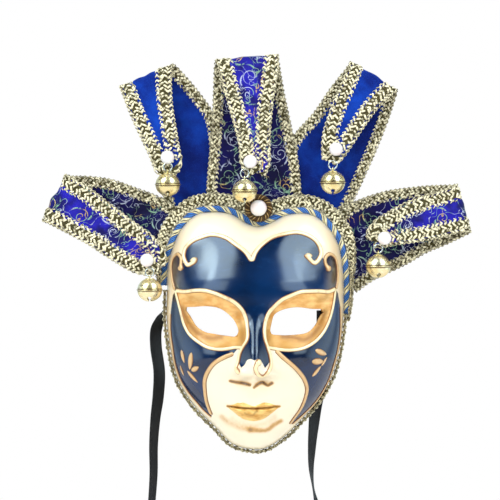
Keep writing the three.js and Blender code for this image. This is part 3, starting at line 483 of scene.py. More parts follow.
turn = np.arange(SPOKES) / SPOKES * 2 * np.pi
rise = np.arange(1, RINGS + 1) / RINGS * np.pi / 2
ring_share = np.sin(rise) ** 0.8
spoke_reach = edge_reach(turn, ABOUT_NOSE)
face_x = (np.sin(turn) * spoke_reach)[None, :] * ring_share[:, None]
face_z = NOSE_TIP + (np.cos(turn) * spoke_reach)[None, :] * ring_share[:, None]
face_x = np.concatenate([[0.0], face_x.ravel()])
face_z = np.concatenate([[NOSE_TIP], face_z.ravel()])
quads, _ = grid_faces(RINGS, SPOKES, around=True)
quads = quads + 1
fan = np.stack([np.zeros(SPOKES, int), 1 + (np.arange(SPOKES) + 1) % SPOKES, 1 + np.arange(SPOKES)], -1)
for hole in EYE_HOLES:
    outline = curve_through(np.array(hole) * SHARES, 14, closed=True)
    depth, nearest = within(face_x, face_z, outline)
    inside = depth > 0
    quads = quads[~inside[quads].all(axis=1)]
    used = np.zeros(len(face_x), bool)
    used[quads.ravel()] = True
    move = inside & used
    face_x[move], face_z[move] = nearest[move, 0], nearest[move, 1]
face_y = -face_height(face_x, face_z)
face_y[-SPOKES:] = 0.0

heart = np.concatenate([curve_through(np.array(HEARTS[0]) * SHARES)[: 9 * 12][::-1],
                        curve_through(np.array(HEARTS[1]) * SHARES)[1 : 9 * 12]])
left_eye = curve_through(np.array(EYE_LINES[0]) * SHARES)
right_eye = curve_through(np.array(EYE_LINES[1]) * SHARES)
left_lid = curve_through(np.array(LOWER_LIDS[0]) * SHARES)
right_lid = curve_through(np.array(LOWER_LIDS[1]) * SHARES)
left_scroll = curve_through(np.array(TEMPLE_SCROLLS[0]) * SHARES)
right_scroll = curve_through(np.array(TEMPLE_SCROLLS[1]) * SHARES)
nose_blue = curve_through(np.array([
    (-0.149, -0.1845), (-0.112, -0.172), (-0.080, -0.152), (-0.040, -0.147), (0.000, -0.152), (0.036, -0.146),
    (0.072, -0.158), (0.113, -0.1840),
]) * SHARES, 6)
forehead = np.concatenate([
    heart, right_scroll[::-1][24:], right_eye[: 12 * 12 + 6], nose_blue[::-1], left_eye[: 13 * 12][::-1],
    left_scroll[: 7 * 12],
])
cheek_left = np.concatenate([
    left_lid[:-6], curve_through(np.array(CHEEK_LINES[0]) * SHARES),
    curve_through(np.array(SIDE_LINES[0]) * SHARES)[::-1], np.array([(-0.915, 0.105)]) * SHARES,
])
cheek_right = np.concatenate([
    right_lid[:-6], curve_through(np.array(CHEEK_LINES[1]) * SHARES),
    curve_through(np.array(SIDE_LINES[1]) * SHARES)[::-1], np.array([(0.935, 0.115)]) * SHARES,
])
blue = np.full(len(face_x), -1e9)
for outline in (forehead, cheek_left, cheek_right):
    blue = np.maximum(blue, within(face_x, face_z, outline)[0])
socket = np.full(len(face_x), -1e9)
for upper, lower in ((left_eye, left_lid), (right_eye, right_lid)):
    corner = np.argmin(np.hypot(*(upper - lower[-1]).T))
    socket = np.maximum(socket, within(face_x, face_z, np.concatenate([upper[: corner + 1], lower[::-1]]))[0])
share = np.linspace(-1, 1, 61)
lip_x = (LIP_MIDDLE + share * LIP_HALF) * HALF_WIDTH
lip_top = np.interp(np.abs(share), LIP_ROWS[:, 0], LIP_ROWS[:, 1]) * FACE_HEIGHT
lip_low = np.interp(np.abs(share), LIP_ROWS[:, 0], LIP_ROWS[:, 3]) * FACE_HEIGHT
lip_outline = np.concatenate([np.stack([lip_x, lip_top], -1), np.stack([lip_x, lip_low], -1)[::-1]])
lips = within(face_x, face_z, lip_outline)[0]
LIP_PARTING = [(-0.300, -0.3475), (-0.150, -0.3515), (-0.012, -0.3540), (0.120, -0.3520), (0.276, -0.3480)]
shade = np.clip(
    1.0 * stroke(face_x, face_z, [(-0.271, -0.2419), (-0.194, -0.2478), (-0.117, -0.2516), (-0.051, -0.2576)], 1.0)
    + 1.0 * stroke(face_x, face_z, [(-0.007, -0.268), (0.026, -0.2576), (0.081, -0.2474), (0.147, -0.2599),
                                     (0.192, -0.2498)], 1.0)
    + 0.3 * stroke(face_x, face_z, [(-0.25, -0.243), (-0.15, -0.249), (-0.08, -0.252)], 2.4)
    + 0.3 * stroke(face_x, face_z, [(0.02, -0.254), (0.09, -0.248), (0.19, -0.252)], 2.2)
    + 0.36 * stroke(face_x, face_z, [(-0.362, -0.3953), (-0.284, -0.4196), (-0.162, -0.4389), (-0.051, -0.4464)], 2.8)
    + 0.5 * stroke(face_x, face_z, [(-0.051, -0.4464), (0.138, -0.4474), (0.216, -0.4271), (0.294, -0.4112)], 2.1)
    + 0.20 * stroke(face_x, face_z, [(-0.24, -0.40), (-0.10, -0.425), (0.10, -0.425), (0.22, -0.395)], 3.5)
    + 0.85 * stroke(face_x, face_z, LIP_PARTING, 1.0)
    + 0.6 * stroke(face_x, face_z, [(-0.106, -0.3739), (-0.029, -0.3822), (0.026, -0.3650)], 1.6),
    0, 1,
)
brush = np.clip(
    0.8 * stroke(face_x, face_z, [(-0.807, 0.0546), (-0.762, 0.0136), (-0.706, -0.019), (-0.616, -0.0511),
                                  (-0.493, -0.0667), (-0.371, -0.0601)], 2.6)
    + 0.8 * stroke(face_x, face_z, [(0.782, 0.0383), (0.737, -0.0026), (0.681, -0.0393), (0.568, -0.071),
                                    (0.446, -0.0664), (0.302, -0.0578)], 2.6)
    + 0.35 * stroke(face_x, face_z, [(-0.60, 0.095), (-0.72, 0.095)], 4.0)
    + 0.4 * stroke(face_x, face_z, [(-0.19, 0.035), (-0.145, -0.02), (-0.14, -0.07)], 2.4)
    + 0.4 * stroke(face_x, face_z, [(0.20, 0.035), (0.155, -0.02), (0.15, -0.07)], 2.4)
    + 0.4 * stroke(face_x, face_z, [(0.72, 0.09), (0.80, 0.10)], 3.0),
    0, 1,
)

# Painted shade: side is 1 near the rim at the face's left and right, where the ivory is painted a darker warm beige as
# the shade where the face turns away.
side = np.concatenate([[0.0], np.repeat(smooth_step(0.80, 1.0, ring_share), SPOKES)])
side = side * smooth_step(0.72, 0.95, np.abs(face_x) / HALF_WIDTH)
temple = smooth_step(0.74, 0.90, np.abs(face_x) / HALF_WIDTH) * smooth_step(0.06, 0.12, face_z / FACE_HEIGHT)

lacquer = Finish("ivory, blue and gold lacquer")
where = lacquer.place()
wobble = (lacquer.noise(where, 260, 2.0) - 0.5) * 0.9
in_blue = (lacquer.mark("blue") + wobble * 0.5).step(-0.25, 0.25)
in_socket = (lacquer.mark("socket") + wobble * 0.4).step(-0.2, 0.2)
in_lips = (lacquer.mark("lips") + wobble).step(-0.35, 0.45)
cloudy = lacquer.noise(where, 22, 4.0)
fleck = lacquer.noise(where, 420, 2.0)
brushed = lacquer.noise(lacquer.stretch(where, (110.0, 60.0, 220.0)), 1.0, 2.0)
low_lid = lacquer.split(where, "Z").step(0.004, -0.010)
ivory = lacquer.mix(cloudy, paint("#fff1cf"), paint("#fff8e2"))
# Painted shade: the ivory darkens to warm beige near the rim at the sides.
ivory = lacquer.mix(lacquer.mark("side") * 0.8, ivory, paint("#ecd2a4"))
navy = lacquer.mix(cloudy.step(0.3, 0.7), paint("#011634"), paint("#022a58"))
navy = lacquer.mix(brushed.step(0.55, 0.95) * 0.3, navy, paint("#1c5088"))
in_temple = lacquer.mark("temple")
navy = lacquer.mix(in_temple * 0.85, navy, lacquer.mix(cloudy.step(0.4, 0.6), paint("#2a1e12"), paint("#6b5a44")))
gold = lacquer.mix(brushed.step(0.25, 0.75), paint("#df9f52"), paint("#fbcf88"))
gold = lacquer.mix(low_lid * 0.75, gold, paint("#c48f48"))
gold = lacquer.mix(lacquer.mark("brush") * brushed.step(0.1, 0.5), gold, paint("#8f5614"))
lip_gold = lacquer.mix(brushed.step(0.25, 0.75), paint("#d2953c"), paint("#ffdc8c"))
ink = lacquer.mark("shade") * (0.25 + fleck * 0.5 + cloudy.step(0.25, 0.75) * 0.7)
inked = lacquer.mix(ink.step(0.30, 0.95), paint("#d39c40"), paint("#5e2f04"))
skin = lacquer.mix(ink.step(0.0, 0.5) * 0.9, ivory, inked)
skin = lacquer.mix(in_lips, skin, lacquer.mix(ink.step(0.15, 1.0) * 0.9, lip_gold, paint("#8a4f14")))
painted = lacquer.mix(in_blue, skin, navy)
painted = lacquer.mix(in_socket, painted, gold)
gilded = in_socket.math("MAXIMUM", in_lips)
face_finish = lacquer.surface(
    painted,
    0.30 - in_blue * 0.08 + gilded * (0.12 + brushed * 0.16) + fleck * 0.04,
    cloudy * 0.5 + fleck * 0.12 + brushed * gilded * 0.5,
    0.00025,
    metallic=gilded * 0.35,
    coat_weight=0.7 - gilded * 0.45,
    coat_roughness=0.10,
    specular_ior_level=0.25,
)

pulp = Finish("bare white pulp inside")
where = pulp.place()
fibre = pulp.noise(where, 190, 5.0, 0.7)
pulp_color = pulp.mix(pulp.noise(where, 30, 3.0), paint("#ddd6c6"), paint("#efe9dc"))
pulp_finish = pulp.surface(pulp.mix(fibre.step(0.45, 0.8) * 0.3, pulp_color, paint("#b8ab92")), 0.85, fibre, 0.0006)

face = make_piece(
    "face", np.stack([face_x, face_y, face_z], -1), [quads, fan], [face_finish, pulp_finish],
    marks={"blue": blue, "socket": socket, "lips": lips, "shade": shade, "brush": brush, "side": side,
           "temple": temple},
)
wall = face.modifiers.new("wall", "SOLIDIFY")
wall.thickness = SHELL_WALL * 0.001
wall.offset = -1
wall.material_offset = 1
wall.material_offset_rim = 0
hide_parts("face_shell")


# Raised lines: beads of thick gesso drawn on the face and gilded, round the eyes, the heart, the cheeks
# and the temples, with round blobs where a line ends in a curl, and small leaf strokes on the cheeks.
BEAD_SIDES = 10


def tube(centres, across, up, half_wide, half_high, sides, phase=0.0):
    """Closed tubes along paths: an oval of half_wide by half_high round every centre, in the plane of
    across and up, and a point over each end. centres is (tubes, steps, 3)."""
    tubes, steps, _ = centres.shape
    angle = (np.arange(sides) + phase) / sides * 2 * np.pi
    wide = np.broadcast_to(half_wide, (tubes, steps))[..., None, None]
    high = np.broadcast_to(half_high, (tubes, steps))[..., None, None]
    ring = (across[:, :, None] * np.cos(angle)[None, None, :, None] * wide
            + up[:, :, None] * np.sin(angle)[None, None, :, None] * high)
    points = (centres[:, :, None] + ring).reshape(tubes, steps * sides, 3)
    points = np.concatenate([points, centres[:, :1], centres[:, -1:]], 1)
    faces, places = grid_faces(steps, sides, around=True)
    side = np.arange(sides)
    after = (side + 1) % sides
    first = np.stack([np.full(sides, steps * sides), after, side], -1)
    last = np.stack([np.full(sides, steps * sides + 1), (steps - 1) * sides + side, (steps - 1) * sides + after], -1)
    stride = steps * sides + 2
    shift = (np.arange(tubes) * stride)[:, None, None]
    run = np.linalg.norm(np.diff(centres, axis=1), axis=2)
    run = np.concatenate([np.zeros((tubes, 1)), np.cumsum(run, 1)], 1)
    uv = np.stack([run[:, places[..., 0]], np.broadcast_to(places[..., 1] / sides, (tubes, *places.shape[:2]))], -1)
    caps = np.concatenate([(first[None] + shift).reshape(-1, 3), (last[None] + shift).reshape(-1, 3)])
    return points.reshape(-1, 3), [(faces[None] + shift).reshape(-1, 4), caps], uv.reshape(-1, 4, 2)


def resample(line, spacing):
    """The same path with evenly spaced points; columns past the third are carried along."""
    run = np.concatenate([[0], np.cumsum(np.linalg.norm(np.diff(line[:, :3], axis=0), axis=1))])
    count = max(4, int(run[-1] / spacing))
    even = np.linspace(0, run[-1], count)
    return np.stack([np.interp(even, run, line[:, i]) for i in range(line.shape[1])], -1), even


def bead(places, width, height, start_blob=0.0, end_blob=0.0, blob_run=2.4, taper=0.0):
    """A half-sunk oval bead that follows the face, with rounded ends and swollen blobs where asked."""
    flat = curve_through(np.array(places) * SHARES, 14)
    flat = np.stack([flat[:, 0], np.zeros(len(flat)), flat[:, 1]], -1)
    line, run = resample(flat, 0.55)
    x, z = line[:, 0], line[:, 2]
    normal = face_normal(x, z)
    centre = np.stack([x, -face_height(x, z, False), z], -1)
    along = np.gradient(centre, axis=0)
    across = np.cross(normal, along)
    across /= np.linalg.norm(across, axis=1, keepdims=True)
    length = run[-1]
    swell = 1 + start_blob * np.exp(-((run - blob_run * 0.6) / blob_run) ** 2)
    swell += end_blob * np.exp(-((length - run - blob_run * 0.6) / blob_run) ** 2)
    swell *= 1 - taper * (run / length) ** 1.5
    half = width / 2 * swell
    round_end = np.sqrt(np.clip(1 - (1 - np.clip(run / half, 0, 1)) ** 2, 0.002, 1))
    round_end *= np.sqrt(np.clip(1 - (1 - np.clip((length - run) / half, 0, 1)) ** 2, 0.002, 1))
    return tube(centre[None], across[None], normal[None], half * round_end,
                height * (0.6 + 0.4 * swell) * round_end, BEAD_SIDES)


def join(parts):
    """Several meshes as one: points, quads, triangles and the quads' UV places."""
    points, quads, caps, uvs, count = [], [], [], [], 0
    for p, (q, c), uv in parts:
        points.append(p)
        quads.append(q + count)
        caps.append(c + count)
        uvs.append(uv)
        count += len(p)
    return np.concatenate(points), [np.concatenate(quads), np.concatenate(caps)], np.concatenate(uvs)


def gilt_finish(name, flank, top):
    """Gilding painted pale along the bead's crest as a painted highlight and dark along its two flanks as
    painted shade, with rubbed patches that turn part way back to the flank colour.
    """
    gilt = Finish(name)
    rubbed = gilt.noise(gilt.place(), 160, 3.0)
    grain = gilt.noise(gilt.place(), 900, 2.0)
    crest = (gilt.split(gilt.along(), "Y") * (2 * math.pi)).math("SINE")
    # Painted highlight along the crest and painted shade on the flanks.
    color = gilt.mix(crest.step(0.30, 0.97), flank, top)
    color = gilt.mix(rubbed.step(0.50, 0.80) * 0.4, color, flank)
    return gilt.surface(
        color, 0.30 + grain * 0.15, rubbed * 0.4 + grain * 0.2, 0.0003, metallic=0.15, coat_weight=0.4,
        coat_roughness=0.15,
    )


pale_gilt = gilt_finish("pale gilded line", paint("#a8682c"), paint("#fff0c0"))
brown_gilt = gilt_finish("brown gilded line", paint("#7c4a20"), paint("#e2bb84"))
LINE_GROUPS = {
    "eye_lines": [(line, 3.7, 1.5, 0.0, blob) for line, blob in zip(EYE_LINES, (0.5, 0.8))]
    + [(line, 3.2, 1.3, 0.0, 0.0) for line in LOWER_LIDS],
    "heart_lines": [(HEARTS[0], 4.1, 1.4, 0.0, 1.3), (HEARTS[1], 4.1, 1.4, 0.0, 1.5)],
    "cheek_lines": [(line, 3.9, 1.2, 0.0, 0.0) for line in CHEEK_LINES],
    "side_lines": [(line, 2.4, 0.9, 0.0, 0.0) for line in SIDE_LINES],
    "temple_scrolls": [(line, 3.4, 1.2, 0.0, 1.2) for line in TEMPLE_SCROLLS],
}
for name, lines in LINE_GROUPS.items():
    points, faces, uv = join([bead(*line) for line in lines])
    gilding = pale_gilt if name in ("eye_lines", "heart_lines") else brown_gilt
    piece = make_piece(name, points, faces, [gilding], uv)
    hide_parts("face_shell")

# Leaf strokes: from end to end as shares, and their width in millimetres
LEAF_STROKES = [
    ((-0.815, -0.119), (-0.782, -0.172), 5.4), ((-0.700, -0.128), (-0.722, -0.198), 6.4),
    ((-0.700, -0.203), (-0.620, -0.186), 5.0), ((-0.748, -0.205), (-0.632, -0.252), 4.4),
    ((-0.830, -0.184), (-0.790, -0.226), 3.4), ((0.672, -0.117), (0.800, -0.137), 5.4),
    ((0.635, -0.163), (0.765, -0.166), 6.2), ((0.640, -0.226), (0.738, -0.184), 4.4),
    ((0.742, -0.183), (0.806, -0.148), 3.2),
]


def leaf(start, end, width):
    """A drop-shaped stroke: an oval bead whose width grows and shrinks like a half wave."""
    a, b = np.array(start), np.array(end)
    line = a + (b - a) * np.linspace(0, 1, 5)[:, None]
    flat = line * SHARES
    t = np.linspace(0, 1, 22)
    x, z = (np.interp(t, np.linspace(0, 1, 5), flat[:, i]) for i in (0, 1))
    normal = face_normal(x, z)
    centre = np.stack([x, -face_height(x, z, False), z], -1)
    across = np.cross(normal, np.gradient(centre, axis=0))
    across /= np.linalg.norm(across, axis=1, keepdims=True)
    full = np.sin(np.pi * np.clip(t, 0.01, 0.99) ** 0.85) ** 0.6
    return tube(centre[None], across[None], normal[None], width / 2 * full, 0.8 * full, BEAD_SIDES)


points, faces, uv = join([leaf(*each) for each in LEAF_STROKES])
leaves = make_piece("cheek_leaves", points, faces, [brown_gilt], uv)
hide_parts("face_shell")


# Edge cord: two thick blue satin strands and a pale gold one laid up together, glued along the top edge
# of the face from cheek to cheek.
CLEAR = 0.4
CORD_DIAMETER = 5.6
CORD_OFFSET = CORD_DIAMETER / 2 - 0.1
CORD_STAND = CORD_DIAMETER / 2 + CLEAR
CORD_SPAN = (-63, 81)
CORD_LAY = 13.0


def edge_run(span, count, outwards, stand):
    """A path along the face's edge, moved outwards in the rim plane and stand in front of it, with the
    outward direction beside it."""
    angle = np.radians(np.linspace(*span, count))

    def at(a):
        reach = edge_reach(a, ABOUT_FACE)
        return np.stack([np.sin(a) * reach, np.zeros_like(a), FACE_CENTRE + np.cos(a) * reach], -1)

    tangent = at(angle + 0.03) - at(angle - 0.03)
    tangent /= np.linalg.norm(tangent, axis=1, keepdims=True)
    outward = np.stack([-tangent[:, 2], np.zeros(count), tangent[:, 0]], -1)
    path = at(angle) + outward * outwards
    path[:, 1] = -stand
    return path, outward


def strand_tubes(paths, radius_wide, radius_high, sides):
    """Tubes along free paths, each turned so that its section stays upright to the view direction."""
    along = np.gradient(paths, axis=1)
    along /= np.linalg.norm(along, axis=2, keepdims=True)
    up = np.array([0.0, -1.0, 0.0]) - along * (along @ np.array([0.0, -1.0, 0.0]))[..., None]
    up = up + np.array([1e-6, 0, 0])
    up /= np.linalg.norm(up, axis=2, keepdims=True)
    across = np.cross(up, along)
    return tube(paths, across, up, radius_wide, radius_high, sides)


def laid_strands(path, outward, lay, radius, starts):
    """Helices round a path: each strand turns once every lay, starting at its own angle."""
    run = np.concatenate([[0], np.cumsum(np.linalg.norm(np.diff(path, axis=0), axis=1))])
    forward = np.array([0.0, -1.0, 0.0])
    angle = run[None] / lay * 2 * np.pi + np.array(starts)[:, None]
    return path[None] + radius * (
        np.cos(angle)[..., None] * outward[None] + np.sin(angle)[..., None] * forward[None, None]
    )


def thread_finish(name, dark, light, turns, metallic, roughness, pitch=2.2, sheen=0.0, crest_from=0.62):
    """Fine threads wound round a strand, with a painted highlight along its crest and painted shade in the
    grooves beside it.
    """
    finish = Finish(name)
    uv = finish.along()
    along, around = finish.split(uv, "X"), finish.split(uv, "Y")
    wave = ((along / pitch + around * turns) * (2 * math.pi)).math("SINE") * 0.5 + 0.5
    # Painted highlight on the crest of the strand; the flanks keep the dark colour as painted shade.
    crest = (around * (2 * math.pi)).math("SINE").math("ABSOLUTE").step(crest_from, 1.0)
    tone = finish.noise(finish.place(), 320, 3.0)
    color = finish.mix((crest * (0.35 + tone * 0.9) + wave * 0.12 - 0.06).step(0.0, 0.9), dark, light)
    return finish.surface(
        color, roughness + tone * 0.15, wave, 0.00022, metallic=metallic, sheen_weight=sheen, sheen_roughness=0.4,
    )


cord_path, cord_out = edge_run(CORD_SPAN, 500, CORD_OFFSET, CORD_STAND)
# The filling's dark blue shows between the strands as painted shade in the cord's grooves.
groove_shade_blue = thread_finish("dark blue filling", paint("#020a26"), paint("#0a1c58"), 2, 0.0, 0.5, 1.1)
blue_satin = thread_finish("blue satin strand", paint("#04206a"), paint("#4f95f0"), 2, 0.0, 0.32, 1.1, 0.05, 0.74)
pale_gold = thread_finish("pale gold strand", paint("#5c4c1c"), paint("#fff8d0"), 2, 0.1, 0.35, 0.9, 0.0, 0.15)
strands = laid_strands(cord_path, cord_out, CORD_LAY, 1.95, np.radians([0, 60, 120]))
filling = tube(cord_path[None], cord_out[None], np.broadcast_to([0.0, -1.0, 0.0], (1, *cord_path.shape)), 1.9, 1.9, 10)
points, faces, uv = join([strand_tubes(strands, 0.82, 0.82, 10), filling])
cord_blue = make_piece("edge_cord_blue", points, faces, [blue_satin, groove_shade_blue], uv)
fill_start = len(faces[0]) - len(filling[1][0])
index = np.zeros(len(cord_blue.data.polygons), np.int32)
index[fill_start : len(faces[0])] = 1
cord_blue.data.polygons.foreach_set("material_index", index)
strands = laid_strands(cord_path, cord_out, CORD_LAY, 2.05, np.radians([182, 218, 294]))
points, faces, uv = strand_tubes(strands, 0.74, 0.74, 8)
cord_gold = make_piece("edge_cord_gold", points, faces, [pale_gold], uv)
for piece in (cord_blue, cord_gold):
    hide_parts("edge_cord")


# Braids round the face: flat plaits of five pale gold metal threads over a dark olive core whose dark
# colour shows as painted shade in the gaps between the threads, the broad one glued over the roots of
# the petals and the narrow one round cheeks and chin, edge on to the front.
TOP_BRAID_WIDTH, TOP_BRAID_THICKNESS = 10.5, 3.0
TOP_BRAID_SPAN = (-64, 84)
TOP_BRAID_OFFSET = CORD_OFFSET + CORD_DIAMETER / 2 + CLEAR + TOP_BRAID_WIDTH / 2
TOP_BRAID_STAND = TOP_BRAID_THICKNESS / 2 + 2 * CLEAR
CHIN_BRAID_DEPTH, CHIN_BRAID_THICKNESS = 9.0, 3.2
CHIN_BRAID_SPAN = (80, 294)
PLAIT_STRANDS = 5
STRAND_STEP = 0.62


def slow_noise(run, length, seed, count):
    """Slowly changing numbers from -1 to 1 along a run, a separate row for each of count strands."""
    knots = np.random.default_rng(seed).uniform(-1, 1, (count, int(run[-1] / length) + 3))
    place = run / length
    low = place.astype(int)
    share = place - low
    share = share * share * (3 - 2 * share)
    return knots[:, low] * (1 - share) + knots[:, low + 1] * share


def plait(path, across, up, width, thickness, pitch, seed, strands=PLAIT_STRANDS):
    """Strands of a flat plait: each swings across the width as a rounded zigzag, once every pitch, and
    passes over and under by a wave that is strands - 1 times as quick. Each starts a little later than
    the last, and all wander a little."""
    run = np.concatenate([[0], np.cumsum(np.linalg.norm(np.diff(path, axis=0), axis=1))])
    phase = 2 * np.pi * (run[None] / pitch + (np.arange(strands) / strands)[:, None])
    phase = phase + 0.5 * slow_noise(run, 4.4, seed, strands)
    swing = np.arcsin(0.95 * np.sin(phase)) / np.arcsin(0.95)
    lift = np.sin((strands - 1) * phase) + 0.6 * slow_noise(run, 2.2, seed + 1, strands)
    half = np.broadcast_to(np.asarray(width) / 2 - 0.8, run.shape)
    lines = path[None] + (half * swing)[..., None] * across[None]
    return lines + (lift * (thickness / 2 - 0.6))[..., None] * up[None], lift


def edge_loops(path, across, up, width, thickness, seed):
    """A thin cord sewn in small scallops along both edges of a plait, and how far it stands up."""
    run = np.concatenate([[0], np.cumsum(np.linalg.norm(np.diff(path, axis=0), axis=1))])
    wander = slow_noise(run, 6.0, seed, 2)
    beat = 2 * np.pi * run[None] / 3.9 + np.array([[0.0], [1.9]]) + 0.9 * wander
    side = np.array([[-1.0], [1.0]]) * (np.broadcast_to(np.asarray(width) / 2, run.shape) - 0.1 + 0.55 * np.sin(beat))
    lift = np.cos(beat)
    lines = path[None] + side[..., None] * across[None] + (0.36 * thickness * lift)[..., None] * up[None]
    return lines, lift


def band(path, across, up, width, thickness):
    """A closed flat band along a path, with a rounded section of eight corners."""
    return tube(path[None], across[None], up[None], np.asarray(width)[None] / 2, thickness / 2, 8)


gold_thread = Finish("pale gold metal thread")
uv = gold_thread.along()
along, around = gold_thread.split(uv, "X"), gold_thread.split(uv, "Y")
wound = ((along / 1.3 + around) * (2 * math.pi)).math("SINE") * 0.5 + 0.5
# Painted light: each thread is lightened along its crest as a painted highlight and darkened by the mark of painted
# shade where it passes down through the plait or the braid lies in shade.
crest = (around * (2 * math.pi)).math("SINE").math("ABSOLUTE").step(0.1, 0.85)
worn = gold_thread.noise(gold_thread.place(), 330, 3.0)
speck = gold_thread.noise(gold_thread.place(), 1300, 2.0)
deep = gold_thread.mark("deep")
bright = crest * (0.30 + worn.step(0.34, 0.62) * 0.85 + (wound - 0.5) * 0.4) * (1 - deep * 0.55)
thread_color = gold_thread.mix(bright.step(0.0, 0.9), paint("#50461e"), paint("#fff8d4"))
gold_thread_finish = gold_thread.surface(
    thread_color, 0.34 + worn * 0.2, wound * 0.5 + speck * 0.3, 0.0003, metallic=0.1, sheen_weight=0.1,
)
# The core's dark olive shows between the threads as painted shade in the gaps.
olive = Finish("dark olive core")
uv = olive.along()
ribs = (olive.split(uv, "X") * (2 * math.pi / 1.1)).math("SINE") * 0.5 + 0.5
olive_color = olive.mix(ribs * olive.noise(olive.place(), 500, 2.0), paint("#1c1706"), paint("#8a7d40"))
gap_shade_core_finish = olive.surface(olive_color, 0.6, ribs, 0.0003, metallic=0.25)


def braid_piece(name, runs, nodes, seed):
    """A braid piece from runs of (path, across, up, width, thickness, pitch, behind): a dark core that shows
    as painted shade between the threads, the plaited strands over it and the scalloped edge cords. behind
    is 1 where the braid lies in shade, painted onto its threads."""
    cores, threads, core_marks, thread_marks = [], [], [], []
    for number, (path, across, up, width, thickness, pitch, behind) in enumerate(runs):
        behind = np.broadcast_to(behind, len(path))
        cores.append(band(path, across, up, np.broadcast_to(width, len(path)) - 2.2, thickness * 0.5))
        core_marks.append(np.zeros(len(cores[-1][0])))
        start = seed + 10 * number
        for (lines, lift), wide, high in (
            (plait(path, across, up, width, thickness, pitch, start), 1.08, 0.66),
            (edge_loops(path, across, up, width, thickness, start + 5), 0.50, 0.48),
        ):
            along = np.gradient(lines, axis=1)
            along /= np.linalg.norm(along, axis=2, keepdims=True)
            level = up[None] - along * np.sum(along * up[None], axis=2, keepdims=True)
            level /= np.linalg.norm(level, axis=2, keepdims=True)
            threads.append(tube(lines, np.cross(level, along), level, wide, high, 6))
            # Painted shade on the threads: darker where a thread passes down through the plait and where the braid
            # lies in shade.
            deep = np.clip(0.5 * behind + 0.75 * (1 - np.abs(lift)), 0, 1)
            thread_marks.append(np.concatenate([np.repeat(deep, 6, axis=1), deep[:, [0, -1]]], 1).ravel())
    points, faces, uv = join(cores + threads)
    marks = {"deep": np.concatenate(core_marks + thread_marks)}
    piece = make_piece(name, points, faces, [gold_thread_finish, gap_shade_core_finish], uv, marks)
    core_quads = sum(len(q) for _, (q, _), _ in cores)
    core_caps = sum(len(c) for _, (_, c), _ in cores)
    index = np.zeros(len(piece.data.polygons), np.int32)
    index[:core_quads] = 1
    index[len(faces[0]) : len(faces[0]) + core_caps] = 1
    piece.data.polygons.foreach_set("material_index", index)
    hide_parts(*nodes)
    return piece


def evened(path, across, extra=None):
    """A path and its directions at even steps of a strand."""
    table = np.concatenate([path, across] + ([extra] if extra is not None else []), 1)
    line, _ = resample(table, STRAND_STEP)
    across = line[:, 3:6] / np.linalg.norm(line[:, 3:6], axis=1, keepdims=True)
    return line[:, :3], across, line[:, 6:]


# The top braid turns edge on towards the temples and narrows there.
count = 520
path, outward = edge_run(TOP_BRAID_SPAN, count, TOP_BRAID_OFFSET, TOP_BRAID_STAND)
turned_by = np.radians(84) * smooth_step(34, 66, np.abs(np.linspace(*TOP_BRAID_SPAN, count)))[:, None]
forward = np.broadcast_to([0.0, -1.0, 0.0], path.shape)
width = TOP_BRAID_WIDTH - 2.5 * np.sin(turned_by)
reach = (width * np.cos(turned_by) + TOP_BRAID_THICKNESS * np.sin(turned_by)) / 2
tail = 2.6 * smooth_step(70, 84, np.linspace(*TOP_BRAID_SPAN, count))[:, None]
path = path + outward * (reach - TOP_BRAID_WIDTH / 2 - 0.4 - 0.8 * np.sin(turned_by) - tail)
path = path + forward * np.sin(turned_by) * (width / 2 - 1.0)
across = outward * np.cos(turned_by) + forward * np.sin(turned_by)
path, across, rest = evened(path, across, np.concatenate([outward, turned_by, width], 1))
up = np.array([0.0, -1.0, 0.0]) * np.cos(rest[:, 3:4]) - rest[:, :3] * np.sin(rest[:, 3:4])
# The top braid carries painted shade at half strength all along.
braid_piece("face_braid_top_plait", [(path, across, up, rest[:, 4], TOP_BRAID_THICKNESS, 18.0, 0.5)],
            ["face_braid_top"], 3)
path, outward = edge_run(CHIN_BRAID_SPAN, 700, CHIN_BRAID_THICKNESS / 2 - 0.1, CHIN_BRAID_DEPTH / 2 + CLEAR)
path, outward, _ = evened(path, outward)
forward = np.broadcast_to([0.0, -1.0, 0.0], path.shape)
# The chin braid swells and thins in gathers, with painted shade where it thins between them and less on the swells.
gathers = np.sin(np.arange(len(path)) * STRAND_STEP / 4.9 * 2 * np.pi)
thickness = CHIN_BRAID_THICKNESS * (0.80 + 0.30 * gathers)
braid_piece("face_braid_chin_plait", [(path, forward, outward, CHIN_BRAID_DEPTH, thickness, 16.0, 0.5 - gathers)],
            ["face_braid_chin"], 5)


# Petals: five stiffened strips of cloth that rise from behind the face's edge, fold forwards and hang
# down again to a tip. Far left, centre and far right are brocade, the two between them velvet.
FOLD_RADIUS = 5.0
FIRST_LEAN, SECOND_LEAN = 16.0, 10.0
BACK_TRIM, FLAP_TRIM, TRIM_THICKNESS = 8.5, 12.2, 3.0
RING_WIRE, BELL_DIAMETER, ROSETTE_BRAID = 1.2, 22.4, 5.6
ROSETTE_SEAT = CORD_STAND + CORD_DIAMETER / 2
TIP_STAND = BELL_DIAMETER / 2 + TRIM_THICKNESS
RING_FORWARD = TRIM_THICKNESS / 2 + 1.5 * CLEAR + RING_WIRE / 2
CENTRE_TIP_STAND = ROSETTE_SEAT + ROSETTE_BRAID + BELL_DIAMETER / 2 - RING_FORWARD
CLOTH_THICKNESS = 0.9
